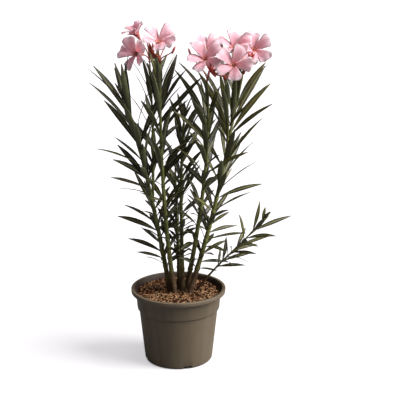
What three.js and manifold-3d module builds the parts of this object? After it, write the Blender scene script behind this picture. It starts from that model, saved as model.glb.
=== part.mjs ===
// An oleander of seven canes in a 19 cm nursery pot.
// Millimetres, +Z up. The origin is the centre of the pot's flat underside, and -Y is the front.

import * as THREE from 'three';
import { mergeVertices } from 'three/addons/utils/BufferGeometryUtils.js';
import Module from 'manifold-3d';

const wasm = await Module();
wasm.setup();

// Pot: a thin tapered wall, a wider collar above it and a rolled lip.
const POT = {
  height: 150,
  wall: 2,
  floor: 4,
  footRadius: 68.5,
  footRound: 5,
  shoulderRadius: 79.3,
  shoulderHeight: 106,
  collarLowRadius: 82.8,
  collarLowHeight: 109.5,
  collarTopRadius: 85.5,
  lipUnderside: 142,
  lipRadius: 95,
  lipRound: 2.5,
  mouthRadius: 87.7,
  sides: 40,
};
const DRAIN = { count: 4, width: 17, height: 4.5, reach: 61, firstDegrees: -73.5 };

// Potting mix: fills the pot to a little below the rim, flat round the canes.
const MIX = { top: 138, edgeRise: 1.5, flatRadius: 48 };

// Clearance left between two pieces that touch.
const GAP = 0.3;

// Canes. Each is a cubic curve from its foot to its tip, measured from the centre of the
// mix's surface. A side shoot has no foot: it springs from another cane at a given length.
// ripe says how far up a whole cane its two ends count as, which sets the leaves they carry.
const CANES = {
  left: {
    foot: [-17, 4, 0], bends: [[-36, -7, 130], [-62, -18, 266]],
    tip: [-94, -30, 391], girth: [5.0, 2.2],
  },
  inner_left: {
    foot: [-7, -6, 0], bends: [[-29, -13, 152], [-33, -27, 310]],
    tip: [-31, -42, 468], girth: [5.0, 2.0],
  },
  centre_short: {
    foot: [0, 15, 0], bends: [[2, 31, 88], [-7, 48, 167]],
    tip: [-6, 64, 249], girth: [4.2, 1.8],
  },
  centre_tall: {
    foot: [9, 5, 0], bends: [[7, 20, 122], [2, 31, 236]],
    tip: [12, 42, 345], girth: [4.6, 1.8],
  },
  inner_right: {
    foot: [15, 18, 0], bends: [[43, 0, 142], [66, -9, 290]],
    tip: [57, -20, 430], girth: [5.2, 1.9],
  },
  right: {
    foot: [22, -4, 0], bends: [[58, 4, 108], [82, 8, 215]],
    tip: [101, 12, 315], girth: [5.3, 3.0], ripe: [0, 0.8],
  },
  low_side: {
    foot: [35, 6, 0], bends: [[80, 0, 67], [130, -20, 110]],
    tip: [164, -38, 163], girth: [2.4, 1.1], ripe: [0, 0.88],
  },
  left_branch: {
    springs: ['left', 196], bends: [[-45, 11, 285], [-50, 32, 370]],
    tip: [-54, 42, 457], girth: [3.0, 1.8], ripe: [0.45, 1],
  },
  right_near: {
    springs: ['right', 292], bends: [[100, 3, 331], [97, -8, 382]],
    tip: [91, -20, 433], girth: [2.6, 1.7], ripe: [0.72, 1],
  },
  right_far: {
    springs: ['right', 'tip'], bends: [[107, 15, 352], [118, 21, 395]],
    tip: [126, 26, 436], girth: [2.8, 1.7], ripe: [0.76, 1],
  },
};
const CANE = { sides: 6, step: 45, buried: 12, flare: 0.3, flareHeight: 14, lead: 5, tipInset: 4 };

// Leaves grow in whorls of three, and each whorl is turned by half a step from the one below.
// The spread, in degrees from the cane, narrows towards its tip, and light is how far a blade
// at the plant's side twists to face the front.
const LEAF = { length: 116, width: 11.5, thickness: 1.6, neck: 3.4, perWhorl: 3, steps: 3 };
const SPREAD = { foot: 66, drop: 48, power: 1.3 };
const VARIATION = {
  reach: 3, spread: 30, azimuth: 36, roll: 64, light: 40, lengthFrom: 0.86, lengthSpan: 0.28,
  sagFoot: 0.10, sagTip: 0.01, bendFrom: 4, bendSpan: 8, widthFrom: 0.88, widthSpan: 0.24,
};

// How far a new leaf keeps from what is there already, measured between sample points. A leaf
// that finds no room is tried again, turned a little and shorter, and in the end left out.
const CLEAR = { leaf: 5.5, stem: 3.2, sister: 3.0, aboveMix: 18, ownBelow: 12, ownAbove: 14 };
const TRIES = { count: 5, turn: 12, shorter: 0.12 };
const SAMPLES = { along: 24, sisterFrom: 8, across: [0, 1, -1, 0.5, -0.5], stemStep: 4 };

// Masses of foliage and the canes that bear them, in the order in which they claim their space.
// first is the length along the cane to the lowest whorl, gap the step to the next and shrink
// how that step closes up.
const MASSES = [
  ['left_top', 'left', { first: 312, gap: 27, shrink: 0.92, whorls: 5, size: 1.24, seed: 5028 }],
  ['right_far', 'right_far', { first: 8, gap: 22, shrink: 0.92, whorls: 5, size: 1.24, seed: 4782 }],
  ['right_near', 'right_near', { first: 12, gap: 22, shrink: 0.93, whorls: 5, size: 1.1, seed: 2135 }],
  ['left_mid', 'left', { first: 209, gap: 30, shrink: 0.94, whorls: 4, size: 1.0, seed: 494 }],
  ['left_low', 'left', { first: 58, gap: 30, shrink: 1.0, whorls: 5, size: 1.0, seed: 2194 }],
  ['right_mid', 'right', { first: 202, gap: 31, shrink: 0.95, whorls: 4, size: 1.1, seed: 3925 }],
  ['right_low', 'right', { first: 54, gap: 30, shrink: 1.0, whorls: 5, size: 1.0, seed: 576 }],
  ['low_side', 'low_side', { first: 72, gap: 30, shrink: 0.93, whorls: 5, size: 0.74, seed: 1722 }],
  ['inner_left_top', 'inner_left', { first: 352, gap: 25, shrink: 0.92, whorls: 5, size: 1.0, seed: 1168 }],
  ['inner_right_top', 'inner_right', { first: 334, gap: 25, shrink: 0.90, whorls: 5, size: 1.0, seed: 734 }],
  ['left_branch_top', 'left_branch', { first: 132, gap: 27, shrink: 0.92, whorls: 5, size: 0.95, seed: 1016 }],
  ['centre_tall_top', 'centre_tall', { first: 192, gap: 33, shrink: 0.94, whorls: 6, size: 0.85, seed: 1607 }],
  ['inner_left_mid', 'inner_left', { first: 228, gap: 35, shrink: 0.95, whorls: 4, size: 1.0, seed: 1372 }],
  ['inner_right_mid', 'inner_right', { first: 214, gap: 35, shrink: 0.95, whorls: 4, size: 1.0, seed: 2151 }],
  ['left_branch_low', 'left_branch', { first: 34, gap: 35, shrink: 0.97, whorls: 3, size: 0.95, seed: 200 }],
  ['centre_short', 'centre_short', { first: 64, gap: 27, shrink: 0.97, whorls: 7, size: 0.62, seed: 559 }],
  ['centre_tall_low', 'centre_tall', { first: 88, gap: 36, shrink: 0.97, whorls: 3, size: 0.9, seed: 1297 }],
  ['inner_right_low', 'inner_right', { first: 66, gap: 38, shrink: 1.0, whorls: 4, size: 0.95, seed: 1718 }],
  ['inner_left_low', 'inner_left', { first: 78, gap: 38, shrink: 1.0, whorls: 4, size: 0.95, seed: 1506 }],
].map(([name, cane, growth]) => ({ name, cane, ...growth }));

// Blossom: open flowers and buds on stalks that fan out from the tip of a cane. A flower has
// its throat's place, the way it faces and how far its petals are turned, in degrees. open is
// how wide a young flower is, as a share of a full one.
const FLOWER = {
  petals: 5, petalLength: 32, petalWidth: 23, rise: 32, recurve: 14, pinwheel: 18, thickness: 1.2,
  tubeLength: 22, throatRadius: 5.5, tubeRadius: 1.8, stalkRadius: 1.1, knuckle: 2.1,
};
const BUD = { length: 15, radius: 2.4 };
const BLOSSOM = {
  left: {
    cane: 'left_branch',
    flowers: [
      { throat: [-79, 34, 515], facing: [-0.5, -0.25, 0.83], turn: 20, open: 0.62 },
      { throat: [-78, 12, 479], facing: [-0.6, -0.78, 0.2], turn: 38 },
    ],
    buds: [[-57, 28, 502]],
  },
  inner_left: {
    cane: 'inner_left',
    flowers: [
      { throat: [-33, -36, 506], facing: [0.05, -0.62, 0.78], turn: -26 },
    ],
    buds: [[-46, -22, 487], [-5, -48, 493], [-24, -8, 496]],
  },
  inner_right: {
    cane: 'inner_right',
    flowers: [],
    buds: [[24, -20, 486], [60, -30, 447]],
  },
  right_near: {
    cane: 'right_near',
    flowers: [
      { throat: [53, -34, 474], facing: [-0.1, -0.82, 0.55], turn: 40 },
      { throat: [105, -48, 465], facing: [0.02, -0.9, 0.42], turn: 60 },
      { throat: [55, 20, 486], facing: [0, -0.45, 0.9], turn: 40 },
    ],
    buds: [[71, -54, 465]],
  },
  right_far: {
    cane: 'right_far',
    flowers: [
      { throat: [108, 0, 492], facing: [-0.05, -0.6, 0.8], turn: 18 },
      { throat: [147, 14, 486], facing: [0.2, -0.85, 0.45], turn: 26 },
      { throat: [130, 60, 470], facing: [0.25, 0.9, 0.35], turn: 25 },
    ],
    buds: [[134, -10, 471]],
  },
};

const MATERIALS = {
  pot: new THREE.MeshStandardMaterial({ color: 0x6a6053, roughness: 0.55, metalness: 0 }),
  mix: new THREE.MeshStandardMaterial({ color: 0x7a5238, roughness: 0.95, metalness: 0 }),
  cane: new THREE.MeshStandardMaterial({ color: 0x4b4a2a, roughness: 0.8, metalness: 0 }),
  leaf: new THREE.MeshStandardMaterial({ color: 0x26301c, roughness: 0.5, metalness: 0 }),
  petal: new THREE.MeshStandardMaterial({ color: 0xf2a9b4, roughness: 0.6, metalness: 0 }),
};

const vector = (place) => new THREE.Vector3(...place);
const mix = THREE.MathUtils.lerp;
const radians = THREE.MathUtils.degToRad;

// A small repeatable stream of numbers from 0 to 1.
function stream(seed) {
  let state = seed | 0;
  return () => {
    state = (state + 0x6D2B79F5) | 0;
    let mixed = Math.imul(state ^ (state >>> 15), state | 1);
    mixed ^= mixed + Math.imul(mixed ^ (mixed >>> 7), mixed | 61);
    return ((mixed ^ (mixed >>> 14)) >>> 0) / 4294967296;
  };
}

// Closed geometry to a solid: shared corners are merged, and flat slivers at poles dropped.
function solid(geometry) {
  const bare = geometry.clone();
  bare.deleteAttribute('normal');
  bare.deleteAttribute('uv');
  const merged = mergeVertices(bare, 1e-3);
  const index = merged.index.array;
  const triangles = [];
  for (let i = 0; i < index.length; i += 3) {
    const [a, b, c] = index.slice(i, i + 3);
    if (a !== b && b !== c && c !== a) triangles.push(a, b, c);
  }
  return new wasm.Manifold(new wasm.Mesh({
    numProp: 3,
    vertProperties: new Float32Array(merged.attributes.position.array),
    triVerts: new Uint32Array(triangles),
  }));
}

function toMesh(name, shape, material) {
  const { vertProperties, triVerts, numProp } = shape.getMesh();
  const positions = new Float32Array((vertProperties.length / numProp) * 3);
  for (let i = 0; i < positions.length / 3; i += 1) {
    positions.set(vertProperties.subarray(i * numProp, i * numProp + 3), i * 3);
  }
  const geometry = new THREE.BufferGeometry();
  geometry.setAttribute('position', new THREE.BufferAttribute(positions, 3));
  geometry.setIndex(new THREE.BufferAttribute(new Uint32Array(triVerts), 1));
  geometry.computeVertexNormals();
  const mesh = new THREE.Mesh(geometry, material);
  mesh.name = name;
  return mesh;
}

const fuse = (shapes) => shapes.reduce((whole, shape) => whole.add(shape));

// Moves every corner of a geometry to the place that a function gives for it.
function reshape(geometry, place) {
  const corners = geometry.attributes.position;
  const corner = new THREE.Vector3();
  for (let i = 0; i < corners.count; i += 1) {
    corner.fromBufferAttribute(corners, i);
    const { x, y, z } = place(corner.clone());
    corners.setXYZ(i, x, y, z);
  }
  return geometry;
}

// Turned about the upright axis: the profile is a list of [radius, height].
function turned(profile, sides) {
  const points = profile.map(([radius, height]) => new THREE.Vector2(radius, height));
  return new THREE.LatheGeometry(points, sides).rotateX(Math.PI / 2);
}

function potProfile() {
  const p = POT;
  const profile = [[0, 0]];
  for (let i = 0; i <= 3; i += 1) {
    const angle = (i / 3) * (Math.PI / 2);
    profile.push([
      p.footRadius - p.footRound * (1 - Math.sin(angle)),
      p.footRound * (1 - Math.cos(angle)),
    ]);
  }
  profile.push([p.shoulderRadius, p.shoulderHeight]);
  profile.push([p.collarLowRadius, p.collarLowHeight]);
  profile.push([p.collarTopRadius, p.lipUnderside]);
  profile.push([p.lipRadius - p.lipRound / 2, p.lipUnderside]);
  profile.push([p.lipRadius, p.lipUnderside + p.lipRound / 2]);
  profile.push([p.lipRadius, p.height - p.lipRound]);
  profile.push([p.lipRadius - p.lipRound, p.height]);
  profile.push([p.mouthRadius + p.lipRound / 2, p.height]);
  profile.push([p.mouthRadius, p.height - p.lipRound / 2]);
  return profile.concat(cavityProfile());
}

// The inside of the pot from the mouth down to the floor.
function cavityProfile() {
  const p = POT;
  return [
    [p.collarTopRadius - p.wall, p.lipUnderside],
    [p.collarLowRadius - p.wall, p.collarLowHeight + p.wall],
    [p.shoulderRadius - p.wall, p.shoulderHeight],
    [p.footRadius - p.wall, p.floor + p.wall],
    [p.footRadius - p.wall * 2, p.floor],
    [0, p.floor],
  ];
}

function makePot() {
  let shape = solid(turned(potProfile(), POT.sides));
  for (let i = 0; i < DRAIN.count; i += 1) {
    const angle = radians(DRAIN.firstDegrees + (i * 360) / DRAIN.count);
    const length = POT.footRadius * 2;
    const slot = new THREE.BoxGeometry(length, DRAIN.width, DRAIN.height * 2);
    slot.translate(DRAIN.reach + length / 2, 0, 0).rotateZ(angle);
    shape = shape.subtract(solid(slot));
  }
  return toMesh('pot', shape, MATERIALS.pot);
}

function makeMix() {
  const inner = cavityProfile().slice(1).reverse();
  const [[, floor]] = inner;
  const profile = inner.map(([radius, height]) => [
    Math.max(0, radius - GAP),
    height === floor ? height + GAP : height,
  ]);
  const edge = mix(POT.collarLowRadius, POT.collarTopRadius, 0.8) - POT.wall - GAP;
  profile.push([edge, MIX.top + MIX.edgeRise]);
  profile.push([MIX.flatRadius, MIX.top]);
  profile.push([0, MIX.top]);
  return toMesh('potting_mix', solid(turned(profile, POT.sides)), MATERIALS.mix);
}

// A curve with its length measured along it and a frame square to it at any length.
function makeStem(points, girth, ripe = [0, 1]) {
  const curve = new THREE.CubicBezierCurve3(...points);
  curve.arcLengthDivisions = 400;
  const length = curve.getLength();
  const [a, b, c, d] = points;
  const slope = (t) => {
    const s = 1 - t;
    return new THREE.Vector3()
      .addScaledVector(b.clone().sub(a), s * s)
      .addScaledVector(c.clone().sub(b), 2 * s * t)
      .addScaledVector(d.clone().sub(c), t * t)
      .normalize();
  };
  const frameAt = (reach) => {
    const inside = Math.min(Math.max(reach, 0), length);
    const t = inside > 0 ? curve.getUtoTmapping(0, inside) : 0;
    const along = slope(t);
    const point = curve.getPoint(t).addScaledVector(along, reach - inside);
    const side = new THREE.Vector3(1, 0, 0).addScaledVector(along, -along.x).normalize();
    return { point, along, side, back: along.clone().cross(side) };
  };
  const radiusAt = (reach) => mix(girth[0], girth[1], reach / length);
  const ripenessAt = (reach) => mix(ripe[0], ripe[1], reach / length);
  return { length, frameAt, radiusAt, ripenessAt };
}

function makeCanes() {
  const canes = {};
  Object.entries(CANES).forEach(([name, { foot, springs, bends, tip, girth, ripe }]) => {
    let start = foot && vector(foot);
    if (springs) {
      const parent = canes[springs[0]];
      start = parent.frameAt(springs[1] === 'tip' ? parent.length : springs[1]).point;
    }
    canes[name] = makeStem([start, ...bends.map(vector), vector(tip)], girth, ripe);
  });
  return canes;
}

// A tapering tube round a stem, between two lengths along it.
function limb(stem, from, to, { sides = CANE.sides, grow = 0, flare = 0 } = {}) {
  const steps = Math.max(1, Math.round((to - from) / CANE.step));
  return solid(reshape(new THREE.CylinderGeometry(1, 1, 1, sides, steps), ({ x, y, z }) => {
    const reach = mix(from, to, y + 0.5);
    const { point, side, back } = stem.frameAt(reach);
    const spread = 1 + flare * Math.exp(-Math.max(reach, 0) / CANE.flareHeight);
    const radius = stem.radiusAt(Math.max(reach, 0)) * spread + grow;
    return point.addScaledVector(side, x * radius).addScaledVector(back, -z * radius);
  }));
}

// A thin blade with a keel beneath: frameAt gives its middle line, its width's direction and
// its upper face's direction at a fraction of its length.
function blade(frameAt, halfWidthAt, thicknessAt, steps) {
  const prism = new THREE.CylinderGeometry(1, 1, 1, 3, steps);
  const corner = Math.cos(Math.PI / 6);
  return solid(reshape(prism, ({ x, y, z }) => {
    const s = y + 0.5;
    const { point, across, up } = frameAt(s);
    return point
      .addScaledVector(across, (x / corner) * halfWidthAt(s))
      .addScaledVector(up, (-z / 1.5) * thicknessAt(s));
  }));
}

// The outline of a leaf: widest a little below the middle, with a long point.
function leafOutline(s) {
  return s > 0 && s < 1 ? Math.sin(Math.PI * s ** 1.1) ** 0.9 : 0;
}

// Leaves grow longer up the cane, but the youngest at its tip are short again.
function leafSize(ripeness) {
  return 0.48 + 0.74 * ripeness - 0.62 * ripeness ** 8;
}

// One leaf of the growth rule. Every draw is made in a fixed order.
function makeLeaf(stem, reach, ripeness, azimuthDegrees, size, draw) {
  const v = VARIATION;
  const { point, along, side, back } = stem.frameAt(reach);
  const spreadDegrees = SPREAD.foot - SPREAD.drop * ripeness ** SPREAD.power;
  const spread = radians(spreadDegrees + v.spread * (draw() - 0.5));
  const azimuth = radians(azimuthDegrees + v.azimuth * (draw() - 0.5));
  const length = LEAF.length * size * leafSize(ripeness) * (v.lengthFrom + v.lengthSpan * draw());
  const roll = radians(v.roll * (draw() - 0.5));
  const sag = mix(v.sagFoot, v.sagTip, ripeness) * (0.4 + 1.2 * draw());
  const bend = radians(v.bendFrom + v.bendSpan * draw());
  const slim = 0.4 + 0.6 * Math.min(1, length / LEAF.length);
  const width = LEAF.width * slim * (v.widthFrom + v.widthSpan * draw());
  const outward = side.clone().multiplyScalar(Math.cos(azimuth))
    .addScaledVector(back, Math.sin(azimuth));
  const heading = (angle) => along.clone().multiplyScalar(Math.cos(angle))
    .addScaledVector(outward, Math.sin(angle));
  const middle = point.clone().addScaledVector(heading(spread - bend), length / 2);
  const tip = middle.clone().addScaledVector(heading(spread + bend), length / 2);
  tip.z -= sag * length;
  const level = along.clone().cross(outward);
  const twist = roll + radians(v.light) * level.y;
  const frameAt = (s) => {
    const q = 1 - s;
    const place = point.clone().multiplyScalar(q * q)
      .addScaledVector(middle, 2 * q * s)
      .addScaledVector(tip, s * s);
    const heads = middle.clone().sub(point).multiplyScalar(q)
      .addScaledVector(tip.clone().sub(middle), s)
      .normalize();
    const flat = heads.clone().cross(level).normalize();
    const across = flat.clone().cross(heads).multiplyScalar(Math.cos(twist))
      .addScaledVector(flat, Math.sin(twist));
    return { point: place, across, up: heads.clone().cross(across) };
  };
  return { frameAt, width };
}

function leafSamples({ frameAt, width }) {
  const points = [];
  for (let i = 1; i <= SAMPLES.along; i += 1) {
    const s = i / (SAMPLES.along + 1);
    const { point, across } = frameAt(s);
    SAMPLES.across.forEach((share) => {
      const offset = share * (width / 2) * leafOutline(s);
      points.push(point.clone().addScaledVector(across, offset));
    });
  }
  return points;
}

function leafSolid({ frameAt, width }) {
  const halfWidthAt = (s) => Math.max((width / 2) * leafOutline(s), s === 0 ? LEAF.neck / 2 : 0);
  const thicknessAt = (s) => (s < 1 ? LEAF.thickness : 0);
  return blade(frameAt, halfWidthAt, thicknessAt, LEAF.steps);
}

// True where no point comes nearer to an obstacle than that obstacle's own distance.
function allClear(points, obstacles) {
  return obstacles.every(({ place, keep }) => points.every((p) => p.distanceTo(place) >= keep));
}

function stemObstacles(canes, mass, reaches) {
  const obstacles = [];
  Object.entries(canes).forEach(([name, stem]) => {
    const count = Math.floor(stem.length / SAMPLES.stemStep);
    for (let i = 0; i <= count; i += 1) {
      const reach = (stem.length * i) / count;
      const own = name === mass.cane
        && reach >= reaches[0] - CLEAR.ownBelow
        && reach <= reaches[reaches.length - 1] + CLEAR.ownAbove;
      if (!own) {
        const place = stem.frameAt(reach).point;
        obstacles.push({ place, keep: stem.radiusAt(reach) + CLEAR.stem });
      }
    }
  });
  return obstacles;
}

function whorlReaches({ first, gap, shrink, whorls }, length) {
  const reaches = [];
  let reach = first;
  for (let i = 0; i < whorls; i += 1) {
    reaches.push(Math.min(reach, length - CANE.tipInset));
    reach += gap * shrink ** i;
  }
  return reaches;
}

// Grows the leaves of one mass among what is there already, and adds them to it.
function growLeaves(canes, mass, standing) {
  const stem = canes[mass.cane];
  const draw = stream(mass.seed);
  const step = 360 / LEAF.perWhorl;
  const turn = step * draw();
  const reaches = whorlReaches(mass, stem.length);
  const obstacles = stemObstacles(canes, mass, reaches).concat(standing);
  const sisters = [];
  const leaves = [];
  const fits = (samples) => {
    const outer = samples.slice(SAMPLES.sisterFrom * SAMPLES.across.length);
    return samples.every((p) => p.z >= CLEAR.aboveMix)
      && allClear(samples, obstacles)
      && allClear(outer, sisters);
  };
  reaches.forEach((reach, whorl) => {
    for (let i = 0; i < LEAF.perWhorl; i += 1) {
      for (let attempt = 0; attempt < TRIES.count; attempt += 1) {
        const nudge = TRIES.turn * attempt * (attempt % 2 ? 1 : -1);
        const azimuth = turn + (step / 2) * whorl + step * i + nudge;
        const height = reach + VARIATION.reach * (draw() - 0.5);
        const size = mass.size * (1 - TRIES.shorter * attempt);
        const leaf = makeLeaf(stem, height, stem.ripenessAt(reach), azimuth, size, draw);
        const samples = leafSamples(leaf);
        if (fits(samples)) {
          leaves.push(leaf);
          const outer = samples.slice(SAMPLES.sisterFrom * SAMPLES.across.length);
          sisters.push(...outer.map((place) => ({ place, keep: CLEAR.sister })));
          standing.push(...samples.map((place) => ({ place, keep: CLEAR.leaf })));
          break;
        }
      }
    }
  });
  return leaves;
}

// The length of cane that each mass has for its stem: to just below the next mass, or the tip.
function stemSpan(mass) {
  const sameCane = MASSES.filter(({ cane }) => cane === mass.cane);
  const above = sameCane.filter(({ first }) => first > mass.first)
    .sort((p, q) => p.first - q.first)[0];
  const lowest = sameCane.every(({ first }) => first >= mass.first);
  const springs = CANES[mass.cane].springs;
  return {
    from: lowest && springs ? 0 : mass.first - CANE.lead,
    to: above ? above.first - CANE.lead - GAP : null,
    springsFrom: lowest && springs ? springs : null,
  };
}

// A stem that springs from another cane is cut clear of it, so that it sits against its side.
function massStem(canes, mass) {
  const { from, to, springsFrom } = stemSpan(mass);
  const stem = canes[mass.cane];
  const end = to ?? stem.length;
  if (!springsFrom) return limb(stem, from, end);
  const [parentName, reach] = springsFrom;
  const parent = canes[parentName];
  if (reach === 'tip') return limb(stem, GAP, end);
  let shape = limb(stem, from, end);
  const near = 60;
  shape = shape.subtract(limb(parent, reach - near, Math.min(reach + near, parent.length), { grow: GAP }));
  Object.entries(CANES).forEach(([name, { springs }]) => {
    if (springs && springs[0] === parentName && name !== mass.cane) {
      shape = shape.subtract(limb(canes[name], 0, near, { grow: GAP }));
    }
  });
  return shape;
}

function makeMass(canes, mass, standing) {
  const leaves = growLeaves(canes, mass, standing);
  const shape = fuse([massStem(canes, mass), ...leaves.map(leafSolid)]);
  return toMesh(`leaves_${mass.name}`, shape, MATERIALS.leaf);
}

// The bare foot of a cane, cut flat where it leaves the mix.
function makeFoot(canes, name) {
  const lowest = MASSES.filter(({ cane }) => cane === name).sort((p, q) => p.first - q.first)[0];
  const top = lowest.first - CANE.lead - GAP;
  const shape = limb(canes[name], -CANE.buried, top, { flare: CANE.flare });
  const below = new THREE.BoxGeometry(400, 400, 100).translate(0, 0, GAP - 50);
  return toMesh(`cane_${name}`, shape.subtract(solid(below)), MATERIALS.cane);
}

// The five petals' frames and the tube of a flower.
function flowerFrame({ throat, facing, turn, open = 1 }) {
  const forward = vector(facing).normalize();
  const upright = Math.abs(forward.z) < 0.9 ? vector([0, 0, 1]) : vector([0, 1, 0]);
  const u = upright.cross(forward).normalize();
  const v = forward.clone().cross(u);
  const middle = vector(throat);
  const width = FLOWER.petalLength * open;
  const petalAt = (index, s) => {
    const angle = radians(turn + (360 / FLOWER.petals) * index);
    const out = u.clone().multiplyScalar(Math.cos(angle)).addScaledVector(v, Math.sin(angle));
    const level = forward.clone().cross(out);
    const point = middle.clone()
      .addScaledVector(out, 2 + width * s)
      .addScaledVector(forward, FLOWER.rise * s - FLOWER.recurve * s * s - 2);
    const heads = out.clone().multiplyScalar(width)
      .addScaledVector(forward, FLOWER.rise - 2 * FLOWER.recurve * s)
      .normalize();
    const face = heads.clone().cross(level).normalize();
    const lean = radians(FLOWER.pinwheel);
    const across = level.clone().multiplyScalar(Math.cos(lean)).addScaledVector(face, Math.sin(lean));
    return { point, across, up: heads.clone().cross(across) };
  };
  return { middle, forward, petalAt };
}

// Half a petal's width at a fraction of its length: narrow at the throat and blunt at the end.
function petalHalfWidth(s) {
  return (FLOWER.petalWidth / 2) * Math.min(0.12 + 1.9 * s, 1.35 - 0.75 * s ** 3, 1);
}

function petalSamples(flower) {
  const { middle, forward, petalAt } = flowerFrame(flower);
  const points = [];
  for (let i = 0; i < FLOWER.petals; i += 1) {
    for (let j = 1; j <= 6; j += 1) {
      const { point, across } = petalAt(i, j / 6);
      [0, 1, -1, 0.5, -0.5].forEach((share) => {
        points.push(point.clone().addScaledVector(across, share * petalHalfWidth(j / 6)));
      });
    }
  }
  for (let depth = 0; depth <= FLOWER.tubeLength; depth += 3) {
    points.push(middle.clone().addScaledVector(forward, -depth));
  }
  return points;
}

// A stalk from the knuckle on the cane's tip to a flower or a bud.
function stalk(knuckle, rising, end, arriving) {
  const reach = knuckle.distanceTo(end) / 3;
  const points = [
    knuckle,
    knuckle.clone().addScaledVector(rising, reach),
    end.clone().addScaledVector(arriving, -reach),
    end,
  ];
  return makeStem(points, [FLOWER.stalkRadius * 1.2, FLOWER.stalkRadius]);
}

function stalkSamples(stem) {
  const points = [];
  for (let reach = 0; reach <= stem.length; reach += SAMPLES.stemStep) {
    points.push(stem.frameAt(reach).point);
  }
  return points;
}

function flowerSolids(flower) {
  const { middle, forward, petalAt } = flowerFrame(flower);
  const tube = new THREE.CylinderGeometry(FLOWER.throatRadius, FLOWER.tubeRadius, FLOWER.tubeLength, 6);
  tube.translate(0, -FLOWER.tubeLength / 2, 0);
  tube.applyQuaternion(new THREE.Quaternion().setFromUnitVectors(vector([0, 1, 0]), forward));
  tube.translate(middle.x, middle.y, middle.z);
  const solids = [solid(tube)];
  for (let i = 0; i < FLOWER.petals; i += 1) {
    solids.push(blade((s) => petalAt(i, s), petalHalfWidth, () => FLOWER.thickness, 3));
  }
  return solids;
}

function budSolid(place, heading) {
  const shape = new THREE.SphereGeometry(1, 5, 4).scale(BUD.radius, BUD.length / 2, BUD.radius);
  shape.applyQuaternion(new THREE.Quaternion().setFromUnitVectors(vector([0, 1, 0]), heading));
  return solid(shape.translate(place.x, place.y, place.z));
}

// Everything on one cluster: stalks, flowers and buds, as solids and as sample points.
function makeBlossom(canes, { cane, flowers, buds }) {
  const { point, along } = canes[cane].frameAt(canes[cane].length);
  const knuckle = point.clone().addScaledVector(along, GAP + FLOWER.knuckle);
  const solids = [solid(new THREE.IcosahedronGeometry(FLOWER.knuckle).translate(...knuckle))];
  const samples = [];
  flowers.forEach((flower) => {
    const { middle, forward } = flowerFrame(flower);
    const end = middle.clone().addScaledVector(forward, 1 - FLOWER.tubeLength);
    const stem = stalk(knuckle, along, end, forward);
    solids.push(limb(stem, 0, stem.length, { sides: 3 }), ...flowerSolids(flower));
    samples.push(...stalkSamples(stem), ...petalSamples(flower));
  });
  buds.forEach((bud) => {
    const place = vector(bud);
    const heading = place.clone().sub(knuckle).normalize().lerp(along, 0.5).normalize();
    const stem = stalk(knuckle, along, place, heading);
    solids.push(limb(stem, 0, stem.length, { sides: 3 }), budSolid(place, heading));
    samples.push(...stalkSamples(stem), place.clone().addScaledVector(heading, BUD.length / 2));
  });
  return { solids, samples };
}

const plant = new THREE.Group();
plant.position.z = MIX.top;
const canes = makeCanes();
Object.keys(CANES).filter((name) => CANES[name].foot).forEach((name) => {
  plant.add(makeFoot(canes, name));
});
const standing = [];
Object.entries(BLOSSOM).forEach(([name, cluster]) => {
  const { solids, samples } = makeBlossom(canes, cluster);
  plant.add(toMesh(`blossom_${name}`, fuse(solids), MATERIALS.petal));
  standing.push(...samples.map((place) => ({ place, keep: CLEAR.leaf })));
});
MASSES.forEach((mass) => {
  plant.add(makeMass(canes, mass, standing));
});

const oleander = new THREE.Group();
oleander.name = 'potted_oleander';
oleander.add(makePot(), makeMix(), plant);

export default oleander;
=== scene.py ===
"""The looks of an oleander in a nursery pot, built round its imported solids.

The plant grows here by the same rule as its solids. Named sizes are in millimetres and meshes
in metres. The origin is the centre of the pot's flat underside, +Z is up and -Y is the front.
"""

import bisect
import functools
import math

import bmesh
import bpy
import numpy as np
from bpy.props import FloatProperty, FloatVectorProperty, IntProperty
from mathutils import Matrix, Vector, noise


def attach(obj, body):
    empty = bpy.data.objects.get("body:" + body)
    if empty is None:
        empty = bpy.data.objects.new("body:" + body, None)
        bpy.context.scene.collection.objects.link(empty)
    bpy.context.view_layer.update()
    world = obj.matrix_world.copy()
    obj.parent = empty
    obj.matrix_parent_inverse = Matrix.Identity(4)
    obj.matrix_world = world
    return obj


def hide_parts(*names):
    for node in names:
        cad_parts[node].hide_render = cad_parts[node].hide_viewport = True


bl_info = {
    "name": "Potted Oleander",
    "version": (1, 0, 0),
    "blender": (4, 5, 0),
    "location": "3D View > Sidebar > Oleander",
    "description": "Dresses the solids of a potted oleander with canes, leaves, blossom, mix and pot",
    "category": "Object",
}

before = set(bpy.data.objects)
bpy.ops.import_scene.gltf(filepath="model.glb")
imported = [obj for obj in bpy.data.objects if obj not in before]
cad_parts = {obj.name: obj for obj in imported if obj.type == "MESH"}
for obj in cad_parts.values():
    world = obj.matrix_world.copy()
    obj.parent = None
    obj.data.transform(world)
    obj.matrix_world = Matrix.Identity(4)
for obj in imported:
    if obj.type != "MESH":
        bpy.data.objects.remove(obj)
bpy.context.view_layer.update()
bpy.ops.object.select_all(action="DESELECT")

MM = 0.001
UP = np.array([0.0, 0.0, 1.0])

# How upright a heading may be before its sides are measured from another direction than up.
STEEP = 0.9

# The pot and the mix in it, as in the solids, but for the drain notches, a little taller here. Its
# edges over one angle are rounded, and those under another are shaded smooth, both in degrees.
POT = dict(height=150, foot=68.5, foot_round=5, shoulder=79.3, shoulder_z=106, collar_low=82.8,
           collar_low_z=109.5, collar_top=85.5, lip_under=142, lip=95, lip_edge=1.2, lip_draft=0.4,
           mouth=87.7, wall=2, floor=4, foot_steps=4, wall_steps=4, lip_steps=3, bevel_steps=2,
           bevel_over=40, smooth_under=32)
DRAIN = dict(count=4, width=17, height=6, reach=61, first=-73.5)
MIX_TOP = 138
MIX_EDGE = 83

# The gap between a cane's tip and the knuckle of its cluster.
GAP = 0.3

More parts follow.
